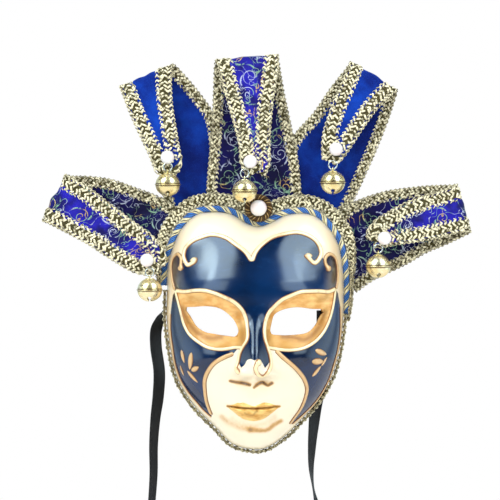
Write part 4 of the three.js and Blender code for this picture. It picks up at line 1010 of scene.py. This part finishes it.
# Each petal: cloth, root, lean and lean of the square to its fold in degrees, length, width, layer, lean outwards, tip stand, then the rows
# of the back strip and of the flap as along, left and right, in lengths and widths
PETALS = {
    "far_left": ("brocade", (-0.957, 0.315), -70, -62, 111, 51, 0, FIRST_LEAN, TIP_STAND, [
        (0.06, -0.38, 0.62), (0.235, -0.41, 0.70), (0.47, -0.42, 0.71), (0.67, -0.41, 0.70),
        (0.83, -0.39, 0.62), (0.95, -0.36, 0.53)], [
        (0.96, -0.34, 0.50), (0.80, -0.39, 0.45), (0.58, -0.46, 0.31), (0.375, -0.56, 0.18),
        (0.15, -0.64, 0.04), (0.056, -0.60, -0.08), (0.02, -0.52, -0.24)]),
    "left": ("velvet", (-0.73, 0.428), -21, -23, 132, 50, 1, SECOND_LEAN, TIP_STAND, [
        (0.05, -0.38, 0.62), (0.20, -0.30, 0.76), (0.38, -0.22, 0.93), (0.57, -0.22, 1.02),
        (0.74, -0.24, 0.93), (0.95, -0.31, 0.74)], [
        (0.96, -0.31, 0.60), (0.77, -0.31, 0.43), (0.59, -0.28, 0.33), (0.475, -0.26, 0.27),
        (0.38, -0.26, 0.22), (0.353, -0.17, 0.08)]),
    "centre": ("brocade", (-0.03, 0.482), -5, -5, 130, 58, 0, FIRST_LEAN, CENTRE_TIP_STAND, [
        (-0.04, -0.70, 0.74), (0.26, -0.60, 0.74), (0.515, -0.50, 0.68), (0.78, -0.42, 0.61),
        (0.96, -0.37, 0.58)], [
        (0.96, -0.31, 0.57), (0.80, -0.26, 0.50), (0.685, -0.21, 0.44), (0.535, -0.15, 0.38),
        (0.40, -0.11, 0.34), (0.28, -0.11, 0.32), (0.215, -0.03, 0.24)]),
    "right": ("velvet", (0.764, 0.428), 28, 32, 132, 50, 1, SECOND_LEAN, TIP_STAND, [
        (0.05, -0.88, 0.34), (0.21, -1.04, 0.34), (0.355, -1.10, 0.32), (0.57, -0.98, 0.28),
        (0.775, -0.92, 0.22), (0.95, -0.84, 0.14)], [
        (0.96, -0.82, 0.06), (0.81, -0.79, -0.05), (0.63, -0.74, -0.11), (0.495, -0.67, -0.14),
        (0.40, -0.55, -0.18), (0.345, -0.42, -0.28)]),
    "far_right": ("brocade", (1.024, 0.294), 74, 74, 111, 51, 0, FIRST_LEAN, TIP_STAND, [
        (-0.02, -0.58, 0.74), (0.15, -0.72, 0.62), (0.43, -0.76, 0.52), (0.62, -0.71, 0.42),
        (0.78, -0.65, 0.38), (0.95, -0.56, 0.32)], [
        (0.96, -0.52, 0.25), (0.75, -0.51, 0.23), (0.58, -0.49, 0.20), (0.41, -0.41, 0.15),
        (0.29, -0.32, 0.13), (0.245, -0.14, 0.10)]),
}


def petal_path(root, lean, fold_lean, length, width, layer, lean_out, tip_stand, back, flap):
    """The strip's middle line as even steps: distance up the petal, forward place, left and right edge,
    and how wide the trims are. It rises, turns half a circle forwards and comes down to the tip."""
    stand = TRIM_THICKNESS / 2 + CLEAR + layer * (TRIM_THICKNESS + CLEAR)
    straight = length - FOLD_RADIUS
    rows = [(a * straight, stand - lean_out * max(0, a) ** 2, left, right, 0) for a, left, right in back]
    fold_y = rows[-1][1]
    last, first = np.array(back[-1]), np.array(flap[0])
    for share in (0.25, 0.5, 0.75):
        angle = share * math.pi
        middle = last + (first - last) * share
        rows.append((middle[0] * straight + FOLD_RADIUS * math.sin(angle),
                     fold_y - FOLD_RADIUS * (1 - math.cos(angle)), middle[1], middle[2], share))
    front_y = fold_y - 2 * FOLD_RADIUS
    for a, left, right in flap:
        down = (first[0] - a) / (first[0] - flap[-1][0])
        rows.append((a * straight, front_y + (-tip_stand - front_y) * down, left, right, 1))
    rows = np.array(rows)
    rows[:, 2:4] *= width
    line = curve_through(rows, 10)
    table = np.stack([line[:, 0], line[:, 1], np.zeros(len(line)), line[:, 2], line[:, 3], line[:, 4]], -1)
    even, run = resample(table, 1.5)
    path = np.gradient(even[:, :2], axis=0)
    path /= np.linalg.norm(path, axis=1, keepdims=True)
    trim = BACK_TRIM + (FLAP_TRIM - BACK_TRIM) * np.clip(even[:, 5], 0, 1)
    slants = [np.minimum(1.35, np.hypot(1, np.gradient(even[:, i]) / np.gradient(run))) for i in (3, 4)]
    a, b = math.radians(lean), math.radians(fold_lean)
    return {
        "root": np.array([root[0] * HALF_WIDTH, 0.0, root[1] * FACE_HEIGHT]),
        "up": np.array([math.sin(a), 0.0, math.cos(a)]),
        "side": np.array([math.cos(b), 0.0, -math.sin(b)]),
        "along": even[:, 0], "y": even[:, 1], "path": path, "run": run, "over": np.clip(even[:, 5], 0, 1),
        "left": even[:, 3], "right": even[:, 4], "left_trim": trim * slants[0], "right_trim": trim * slants[1],
    }


def on_petal(strip, side, lift=0.0):
    """Places on the strip: side millimetres right of its middle line and lift out of its outer face."""
    along = strip["along"] - lift * strip["path"][:, 1]
    y = strip["y"] + lift * strip["path"][:, 0]
    return strip["root"] + along[:, None] * strip["up"] + np.asarray(side)[:, None] * strip["side"] + (
        y[:, None] * np.array([0.0, 1.0, 0.0]))


def petal_sheet(name, strip, cloth_columns, material, seed):
    """The cloth as a grid from edge to edge and root to tip. It crowns out between its trims and carries
    slow waves, as slightly crumpled stiffened cloth does."""
    rows = len(strip["run"])
    share = np.linspace(0, 1, cloth_columns)
    rng = np.random.default_rng(seed)
    waves = [(rng.uniform(14, 34), rng.uniform(0.6, 2.4), rng.uniform(0, 6.28), rng.uniform(0.25, 0.55))
             for _ in range(5)]
    left, right = strip["left"] + 1.8, strip["right"] - 1.8
    ends = smooth_step(0, 25, strip["run"]) * smooth_step(0, 20, strip["run"][-1] - strip["run"])
    points, uvs = [], []
    for s in share:
        side = left + (right - left) * s
        free = np.minimum(side - strip["left"] - strip["left_trim"], strip["right"] - strip["right_trim"] - side)
        free = smooth_step(-1.0, 12.0, free) * ends
        ripple = sum(height * np.sin(strip["run"] / period * 6.28 + s * skew * 6.28 + start)
                     for period, skew, start, height in waves)
        points.append(on_petal(strip, side, free * (1.0 + ripple)))
        uvs.append(np.stack([side, strip["run"]], -1))
    points = np.stack(points, 1).reshape(-1, 3)
    uvs = np.stack(uvs, 1).reshape(-1, 2)
    faces, places = grid_faces(rows, cloth_columns)
    # Painted shade: behind is 1 on the back strip under the flap, where the cloth is painted darker.
    marks = {"behind": np.repeat(1 - strip["over"], cloth_columns)}
    piece = make_piece(name, points, faces, [material], uvs[faces], marks)
    thick = piece.modifiers.new("cloth", "SOLIDIFY")
    thick.thickness = CLOTH_THICKNESS * 0.001
    thick.offset = 0
    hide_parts(name.replace("_cloth", ""))
    wide = (strip["right"] - strip["left"]) - 3.2
    area = np.trapezoid(wide, strip["run"]) if hasattr(np, "trapezoid") else np.trapz(wide, strip["run"])
    flat = (wide.max() * 0.001, strip["run"][-1] * 0.001)
    return piece


velvet = Finish("royal blue velvet")
where = velvet.place()
nap = velvet.noise(where, 38, 4.0)
pile = velvet.noise(where, 1500, 2.0)
velvet_color = velvet.mix(nap.step(0.35, 0.7), paint("#041c72"), paint("#0a40b2"))
velvet_color = velvet.mix(pile.step(0.45, 0.8) * 0.3, velvet_color, paint("#2259d4"))
# Painted shade: the back strip under the flap is darkened.
velvet_color = velvet.mix(velvet.mark("behind") * 0.25, velvet_color, paint("#020c44"))
velvet_finish = velvet.surface(
    velvet_color, 0.85, pile, 0.0005, sheen_weight=0.5, sheen_roughness=0.35, sheen_tint=paint("#3f74f0"),
    specular_ior_level=0.2,
)

brocade = Finish("blue violet brocade with metal scrolls")
uv = brocade.along()


def scrolls(size, shift, reach, turns, thin):
    """Curls scattered over the cloth: in each cell a spiral line with three leaf strokes round it."""
    moved = brocade.node("ShaderNodeMapping", {}, {"Vector": uv, "Location": (*shift, 0.0)})
    kind = {"voronoi_dimensions": "2D"}
    sockets = {"Vector": moved, "Scale": 1.0 / size, "Randomness": 0.9}
    middle = brocade.node("ShaderNodeTexVoronoi", kind, sockets, output="Position")
    tint = brocade.node("ShaderNodeTexVoronoi", kind, sockets, output="Color")
    local = brocade.node("ShaderNodeVectorMath", {"operation": "SUBTRACT"}, {0: moved, 1: middle})
    local = brocade.node("ShaderNodeVectorMath", {"operation": "SCALE"}, {0: local, "Scale": 1.0 / size})
    x, y = brocade.split(local, "X"), brocade.split(local, "Y")
    far = (x * x + y * y) ** 0.5
    angle = y.math("ARCTAN2", x)
    pick = brocade.split(tint, "X")
    spiral = (far * turns + angle / (2 * math.pi) + pick).math("FRACT")
    line = (spiral - 0.5).math("ABSOLUTE").step(thin, thin * 0.4) * far.step(reach, reach * 0.9)
    spray = (angle * 1.5 + far * 7.0 + pick * 6.28).math("SINE").math("ABSOLUTE").step(0.96, 0.995)
    spray = spray * far.step(reach * 0.95, reach * 1.05) * far.step(reach * 1.7, reach * 1.3)
    return line.math("MAXIMUM", spray), pick


big, big_pick = scrolls(21.0, (3.0, 5.0), 0.32, 5.0, 0.10)
small, small_pick = scrolls(9.0, (11.0, 2.0), 0.30, 4.0, 0.13)
drift = brocade.noise(uv, 0.055, 1.5) * 6.0
vine = (drift.math("FRACT") - 0.5).math("ABSOLUTE").step(0.045, 0.02)
weave = (brocade.split(uv, "Y") * (2 * math.pi / 0.55)).math("SINE") * 0.5 + 0.5
cloud = brocade.noise(uv, 0.05, 3.0)
silk = brocade.mix(cloud.step(0.35, 0.65), paint("#0a0640"), paint("#211bac"))
silk = brocade.mix(weave * 0.2, silk, paint("#2c2cc0"))
# Painted shade: the back strip under the flap is darkened.
silk = brocade.mix(brocade.mark("behind") * 0.8, silk, paint("#040224"))
patch = brocade.noise(uv, 0.035, 1.0)
metal_thread = brocade.mix(patch.step(0.42, 0.50), paint("#c6ceea"), paint("#8fb89a"))
metal_thread = brocade.mix(patch.step(0.55, 0.60), metal_thread, paint("#d9b46a"))
broken = brocade.noise(uv, 0.35, 2.0).step(0.36, 0.48)
figure = big.math("MAXIMUM", small * small_pick.step(0.60, 0.68)).math("MAXIMUM", vine * 0.8) * broken
brocade_finish = brocade.surface(
    brocade.mix(figure, silk, metal_thread), 0.42 - figure * 0.1, weave * 0.3 + figure, 0.00025,
    metallic=figure * 0.3, sheen_weight=0.06, sheen_roughness=0.3, sheen_tint=paint("#6a6aff"),
    specular_ior_level=0.2,
)

CLOTHS = {"velvet": velvet_finish, "brocade": brocade_finish}
strips = {}
for number, (name, petal) in enumerate(PETALS.items()):
    strips[name] = petal_path(*petal[1:])
    petal_sheet(f"petal_{name}_cloth", strips[name], 25, CLOTHS[petal[0]], 11 + number)


# Petal braids: the same plait, narrower behind and broader on the flap, sewn over both edges of each
# petal so that it shows on both faces, with the two runs crossing at the tip.
for name, strip in strips.items():
    runs = []
    for edge, trim, sign in (("left", "left_trim", 1), ("right", "right_trim", -1)):
        half = np.minimum(strip[trim] / 2, (strip["right"] - strip["left"]) / 2 + 1.0)
        side = strip[edge] + sign * half
        lift = 0.5 * sign * smooth_step(strip["run"][-1] - 30, strip["run"][-1] - 5, strip["run"])
        path = on_petal(strip, side, lift)
        outer = on_petal(strip, side, lift + 1.0) - path
        # The braid on the back strip, under the flap, carries painted shade.
        table = np.concatenate([outer, half[:, None] * 2, 1 - strip["over"][:, None]], 1)
        path, across, rest = evened(path, np.broadcast_to(strip["side"], path.shape), table)
        up = rest[:, :3] / np.linalg.norm(rest[:, :3], axis=1, keepdims=True)
        along = np.gradient(path, axis=0)
        across = np.cross(up, along)
        across /= np.linalg.norm(across, axis=1, keepdims=True)
        runs.append((path, across, up, rest[:, 3], TRIM_THICKNESS, 20.0, rest[:, 4]))
    braid_piece(f"petal_braid_{name}_plait", runs, [f"petal_braid_{name}"], 31 + len(name))


# Pearls: one moulded bead sewn on each petal's tip and a larger one in the rosette, drilled from top to
# bottom, with a dimple where the thread comes out.
def middle_of(node):
    low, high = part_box(node)
    return (np.array(low) + np.array(high)) * 500.0, (np.array(high) - np.array(low)) * 1000.0


def turned(profile, around, centre):
    """A profile of radius and height turned about the upright axis through centre, poles closed."""
    angle = np.arange(around) / around * 2 * np.pi
    inner = np.asarray(profile)[1:-1]
    ring = np.stack([inner[:, :1] * np.cos(angle), inner[:, :1] * np.sin(angle),
                     np.broadcast_to(inner[:, 1:], (len(inner), around))], -1)
    points = np.concatenate([ring.reshape(-1, 3), [[0, 0, profile[0][1]], [0, 0, profile[-1][1]]]]) + centre
    faces, places = grid_faces(len(inner), around, around=True)
    side = np.arange(around)
    after = (side + 1) % around
    low = np.stack([np.full(around, len(inner) * around), after, side], -1)
    high = np.stack([np.full(around, len(inner) * around + 1), (len(inner) - 1) * around + side,
                     (len(inner) - 1) * around + after], -1)
    uv = np.stack([places[..., 1] / around, places[..., 0] / len(inner)], -1)
    return points, [faces, np.concatenate([low, high])], uv


pearl = Finish("pearl")
where = pearl.place()
bloom = pearl.noise(where, 110, 2.0)
pearl_color = pearl.mix(bloom.step(0.35, 0.65), paint("#fff2f2"), paint("#f4f8ff"))
pearl_finish = pearl.surface(
    pearl_color, 0.22 + bloom * 0.1, bloom, 0.0001, coat_weight=0.6, coat_roughness=0.08,
    sheen_weight=0.2, sheen_roughness=0.3, subsurface_weight=0.15, subsurface_radius=(0.004, 0.003, 0.003),
    subsurface_scale=0.5,
)
for name in (*[f"pearl_{petal}" for petal in PETALS], "rosette_pearl"):
    centre, size = middle_of(name)
    radius = size[0] / 2
    polar = np.linspace(0, np.pi, 29)
    dimple = 1 - 0.10 * np.exp(-((polar / 0.16) ** 2)) - 0.10 * np.exp(-(((np.pi - polar) / 0.16) ** 2))
    profile = np.stack([radius * np.sin(polar) * dimple, -radius * np.cos(polar) * dimple], -1)
    profile[[0, -1], 0] = 0
    points, faces, uv = turned(profile, 44, centre)
    bead_piece = make_piece(f"{name}_bead", points, faces, [pearl_finish], uv)
    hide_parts(name)


# Jump rings: silver-white wire bent round and butted, one under each pearl, with the bell's loop in it.
RING_DIAMETER = 8.4
silver = Finish("bright silver wire")
where = silver.place()
drawn = silver.noise(silver.stretch(where, (900.0, 900.0, 900.0)), 1.0, 2.0)
silver_finish = silver.surface(silver.mix(drawn, paint("#d5d3ca"), paint("#fbfaf4")), 0.14 + drawn * 0.12, drawn,
                               0.00005, metallic=1.0)


def hoop(centre, radius, wire, first, second, gap=0.0, steps=44, sides=10):
    """A round wire loop in the plane of two directions, open by gap degrees at its top."""
    angle = np.radians(np.linspace(90 + gap / 2, 450 - gap / 2, steps))
    spoke = np.cos(angle)[:, None] * first + np.sin(angle)[:, None] * second
    return tube((centre + radius * spoke)[None], spoke[None],
                np.broadcast_to(np.cross(first, second), (1, steps, 3)), wire / 2, wire / 2, sides)


RIGHT, FORWARD, UP = np.array([1.0, 0, 0]), np.array([0, -1.0, 0]), np.array([0, 0, 1.0])
for name in PETALS:
    centre, size = middle_of(f"ring_{name}")
    points, faces, uv = hoop(centre, (RING_DIAMETER - RING_WIRE) / 2, RING_WIRE, RIGHT, UP, 5.0)
    ring = make_piece(f"ring_{name}_wire", points, faces, [silver_finish], uv)
    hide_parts(f"ring_{name}")


# Bells: two thin pressed cups of gilt brass crimped together at a flange, with crossed slots below that
# end in round holes, a collar on top and a wire loop through it.
BELL_HEIGHT, BELL_WALL, BELL_LIP, BELL_FLANGE = 20.0, 0.9, 0.6, 0.7
LOOP_WIRE = 1.0
LOOP_RADIUS = (RING_WIRE + LOOP_WIRE) / 2 + 1.5 * CLEAR
SLOT_HALF, SLOT_REACH, SLOT_HOLE = 0.75, 6.9, 1.9

bell_gold = Finish("polished gilt brass")
where = bell_gold.place()
tarnish = bell_gold.noise(where, 95, 3.0)
scratch = bell_gold.noise(bell_gold.stretch(where, (300.0, 300.0, 2600.0)), 1.0, 2.0)
bell_color = bell_gold.mix(tarnish.step(0.3, 0.75), paint("#eed795"), paint("#fff6d2"))
# Painted shade: a dark brown band just above and below the flange.
bell_color = bell_gold.mix(bell_gold.mark("crimp") * 0.9, bell_color, paint("#6a430f"))
bell_finish = bell_gold.surface(bell_color, 0.19 + tarnish * 0.08 + scratch * 0.05, scratch, 0.00004, metallic=0.8)


def slot_distance(x, y):
    """Distance outside the crossed slots, seen from below: two bars and a round hole at each end."""
    bars = [np.hypot(np.maximum(np.abs(a) - SLOT_REACH, 0), b) - SLOT_HALF for a, b in ((x, y), (y, x))]
    holes = [np.hypot(np.abs(a) - SLOT_REACH, b) - SLOT_HOLE for a, b in ((x, y), (y, x))]
    return np.minimum.reduce(bars + holes)


def bell_half(centre, lower):
    """One cup: half an ellipse turned about the upright axis, from the flange to its pole."""
    around, rows = 84, 28
    wide = BELL_DIAMETER / 2 - BELL_LIP
    rim = [(wide + BELL_LIP, 0.02), (wide + BELL_LIP, BELL_FLANGE * 0.35), (wide + BELL_LIP * 0.8, BELL_FLANGE * 0.5),
           (wide + 0.08, BELL_FLANGE * 0.52)]
    polar = np.linspace(0.06, np.pi / 2, rows)
    dome = [(wide * math.cos(a) if a < np.pi / 2 - 1e-6 else 0.0, BELL_HEIGHT / 2 * math.sin(a)) for a in polar]
    profile = np.array(rim + dome)
    profile[:, 1] *= -1 if lower else 1
    angle = np.arange(around) / around * 2 * np.pi
    inner = profile[:-1]
    x = inner[:, :1] * np.cos(angle)
    y = inner[:, :1] * np.sin(angle)
    z = np.broadcast_to(inner[:, 1:], x.shape)
    points = np.stack([x, y, z], -1).reshape(-1, 3)
    faces, _ = grid_faces(len(inner), around, around=True)
    if lower:
        gap = slot_distance(points[:, 0], points[:, 1])
        cut = gap < 0
        cut[: len(rim) * around] = False
        faces = faces[~cut[faces].all(axis=1)]
        used = np.zeros(len(points), bool)
        used[faces.ravel()] = True
        move = np.where(cut & used)[0]
        for _ in range(4):
            px, py = points[move, 0], points[move, 1]
            here = slot_distance(px, py)
            gx = (slot_distance(px + 0.02, py) - here) / 0.02
            gy = (slot_distance(px, py + 0.02) - here) / 0.02
            size = np.maximum(np.hypot(gx, gy), 0.2)
            points[move, 0] -= here * gx / size**2
            points[move, 1] -= here * gy / size**2
        r = np.hypot(points[move, 0], points[move, 1]) / wide
        points[move, 2] = -BELL_HEIGHT / 2 * np.sqrt(np.clip(1 - r**2, 0, 1))
        keep = np.zeros(len(points), bool)
        keep[faces.ravel()] = True
        number = np.cumsum(keep) - 1
        return points[keep] + centre, number[faces]
    points = np.concatenate([points, [[0, 0, profile[-1, 1]]]])
    top = (len(inner) - 1) * around
    side = np.arange(around)
    cap = np.stack([np.full(around, len(points) - 1), top + side, top + (side + 1) % around], -1)
    cap = np.concatenate([cap, cap[:, -1:]], 1)
    return points + centre, (faces, cap[:, :3])


for name in PETALS:
    centre, size = middle_of(f"bell_{name}")
    low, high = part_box(f"bell_{name}")
    centre[2] = low[2] * 1000 + BELL_HEIGHT / 2
    upper_points, (upper_faces, upper_cap) = bell_half(centre, False)
    lower_points, lower_faces = bell_half(centre, True)
    count = len(upper_points)
    cup_points = np.concatenate([upper_points, lower_points])
    height = np.abs(cup_points[:, 2] - centre[2])
    # Painted shade along both sides of the flange seam.
    crimp = smooth_step(0.28, 0.36, height) * smooth_step(1.7, 0.9, height)
    bell = make_piece(
        f"bell_{name}_cups", cup_points, [upper_faces, lower_faces[:, ::-1] + count, upper_cap], [bell_finish],
        marks={"crimp": crimp},
    )
    wall = bell.modifiers.new("wall", "SOLIDIFY")
    wall.thickness = BELL_WALL * 0.001
    wall.offset = -1
    collar = [(0, 0.05), (3.6, 0.0), (3.9, 0.25), (3.7, 0.6), (2.6, 0.75), (1.0, 0.7), (0, 0.7)]
    collar = np.array(collar) + [0, BELL_HEIGHT / 2 - 0.75]
    loop_centre = centre + [0, 0, BELL_HEIGHT / 2 + LOOP_RADIUS * 0.75]
    loop_points, loop_faces, loop_uv = join([
        turned(collar, 40, centre), hoop(loop_centre, LOOP_RADIUS, LOOP_WIRE, FORWARD, UP),
    ])
    loop = make_piece(f"bell_{name}_loop", loop_points, loop_faces, [bell_finish], loop_uv)
    for piece in (bell, loop):
        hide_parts(f"bell_{name}")


# Rosette: dark bronze braid gathered into a round over the dip of the forehead, with the large pearl in it.
ROSETTE_DIAMETER = 24.6
bronze_dark = thread_finish("dark bronze thread", paint("#0c0501"), paint("#5e4018"), 3, 0.2, 0.38, 1.0)
bronze_pale = thread_finish("pale bronze thread", paint("#2c1c08"), paint("#d8b878"), 3, 0.1, 0.35, 1.0)
centre, size = middle_of("rosette_braid")
steps = 340
angle = np.linspace(0, 2 * np.pi, steps)
spoke = np.cos(angle)[:, None] * RIGHT + np.sin(angle)[:, None] * UP
rosette_parts = {
    "rosette_coil": (bronze_dark, np.radians([0, 72, 144, 216, 288]), 1.95, 0.66, 9),
    "rosette_picots": (bronze_pale, np.radians([36, 180]), 2.1, 0.50, 9),
}
for name, (material, starts, radius, thick, turns) in rosette_parts.items():
    lines = []
    for start in starts:
        twist = turns * angle + start
        mean = (ROSETTE_DIAMETER - ROSETTE_BRAID) / 2
        reach = mean + radius * np.cos(twist)
        lines.append(centre + reach[:, None] * spoke + (radius * np.sin(twist))[:, None] * FORWARD)
    parts = [strand_tubes(np.stack(lines), thick, thick, 8)]
    if name == "rosette_coil":
        heart_line = centre + mean * spoke
        parts.append(tube(heart_line[None], spoke[None], np.broadcast_to(FORWARD, (1, steps, 3)), 1.7, 1.7, 10))
    points, faces, uv = join(parts)
    piece = make_piece(name, points, faces, [material], uv)
    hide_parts("rosette_braid")


# Tie ribbons: black satin, glued inside the temples, hanging behind the cheeks past the chin.
RIBBON_WIDTH, RIBBON_THICKNESS, RIBBON_DROP = 10.0, 0.5, 162.0
RIBBONS = {
    "ribbon_left": [
        (-1.03, 0.050, -0.4, 90), (-1.075, 0.000, 0.6, 40), (-1.12, -0.075, 2.2, 5), (-1.115, -0.150, 2.2, 0),
        (-1.08, -0.270, 2.2, 0), (-1.09, -0.400, 2.2, 15), (-1.125, -0.530, 2.2, 35), (-1.145, -0.670, 2.2, 45),
        (-1.145, -0.820, 2.2, 50), (-1.17, -1.000, 2.2, 55)],
    "ribbon_right": [
        (0.975, 0.015, 0.0, 80), (0.930, -0.060, 0.2, 30), (0.870, -0.160, 0.6, 10), (0.780, -0.300, 0.6, 0),
        (0.710, -0.430, 1.6, 0), (0.665, -0.600, 1.6, 35), (0.650, -0.700, 1.6, 50), (0.645, -0.790, 1.6, 65),
        (0.670, -0.900, 1.6, 82), (0.715, -1.000, 1.6, 60)],
}
satin = Finish("black satin")
uv = satin.along()
ribs = (satin.split(uv, "Y") * (2 * math.pi / 0.45)).math("SINE") * 0.5 + 0.5
dull = satin.noise(uv, 0.12, 3.0)
satin_finish = satin.surface(
    satin.mix(dull, paint("#020203"), paint("#0a0a0d")), 0.42 + dull * 0.12, ribs, 0.0001,
    sheen_weight=0.05, sheen_roughness=0.4, specular_ior_level=0.3,
)
for name, rows in RIBBONS.items():
    table = np.array([(x * HALF_WIDTH, stand + CLEAR, z * RIBBON_DROP, swing) for x, z, stand, swing in rows])
    line = curve_through(table, 14)
    line, run = resample(line, 1.2)
    swing = np.radians(line[:, 3])
    level = np.stack([np.cos(swing), np.sin(swing), np.zeros(len(swing))], -1)
    along = np.gradient(line[:, :3], axis=0)
    along /= np.linalg.norm(along, axis=1, keepdims=True)
    up = np.cross(level, along)
    up /= np.linalg.norm(up, axis=1, keepdims=True)
    across = np.cross(along, up)
    middle = line[:, :3].copy()
    middle[:, 1] += (np.abs(across[:, 1]) * RIBBON_WIDTH + RIBBON_THICKNESS) / 2
    share = np.linspace(-0.5, 0.5, 9)
    cup = 0.5 * (1 - (2 * share) ** 2)
    points = middle[:, None] + share[None, :, None] * RIBBON_WIDTH * across[:, None] + cup[None, :, None] * up[:, None]
    uvs = np.stack(np.broadcast_arrays(share[None, :] * RIBBON_WIDTH, run[:, None]), -1).reshape(-1, 2)
    faces, _ = grid_faces(len(run), len(share))
    ribbon = make_piece(f"{name}_satin", points.reshape(-1, 3), faces, [satin_finish], uvs[faces])
    thick = ribbon.modifiers.new("cloth", "SOLIDIFY")
    thick.thickness = RIBBON_THICKNESS * 0.001
    thick.offset = 0
    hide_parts(name)


# The right ribbon's glued end lies on the inside of the shell and shows through the outer corner of the eye hole.
END_INNER, END_OUTER, END_MIDDLE = 52.4, 73.5, 4.2
place = np.linspace(0, 1, 24)
share = np.linspace(-0.5, 0.5, 9)
end_x = END_INNER + (END_OUTER - END_INNER) * place
end_x, end_z = (grid.ravel() for grid in np.meshgrid(end_x, END_MIDDLE + share * RIBBON_WIDTH, indexing="ij"))
end_y = -(face_height(end_x, end_z, False) - SHELL_WALL - 1.6)
faces, _ = grid_faces(len(place), len(share))
points = np.stack([end_x, end_y, end_z], -1)
lengths = np.linalg.norm(np.diff(points.reshape(24, 9, 3)[:, 4], axis=0), axis=1)
run = np.concatenate([[0], np.cumsum(lengths)])
uvs = np.stack(np.broadcast_arrays(share[None, :] * RIBBON_WIDTH, run[:, None]), -1).reshape(-1, 2)
ribbon_end = make_piece("ribbon_right_glued_end", points, faces, [satin_finish], uvs[faces])
thick = ribbon_end.modifiers.new("cloth", "SOLIDIFY")
thick.thickness = RIBBON_THICKNESS * 0.001
thick.offset = 0
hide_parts("ribbon_right")
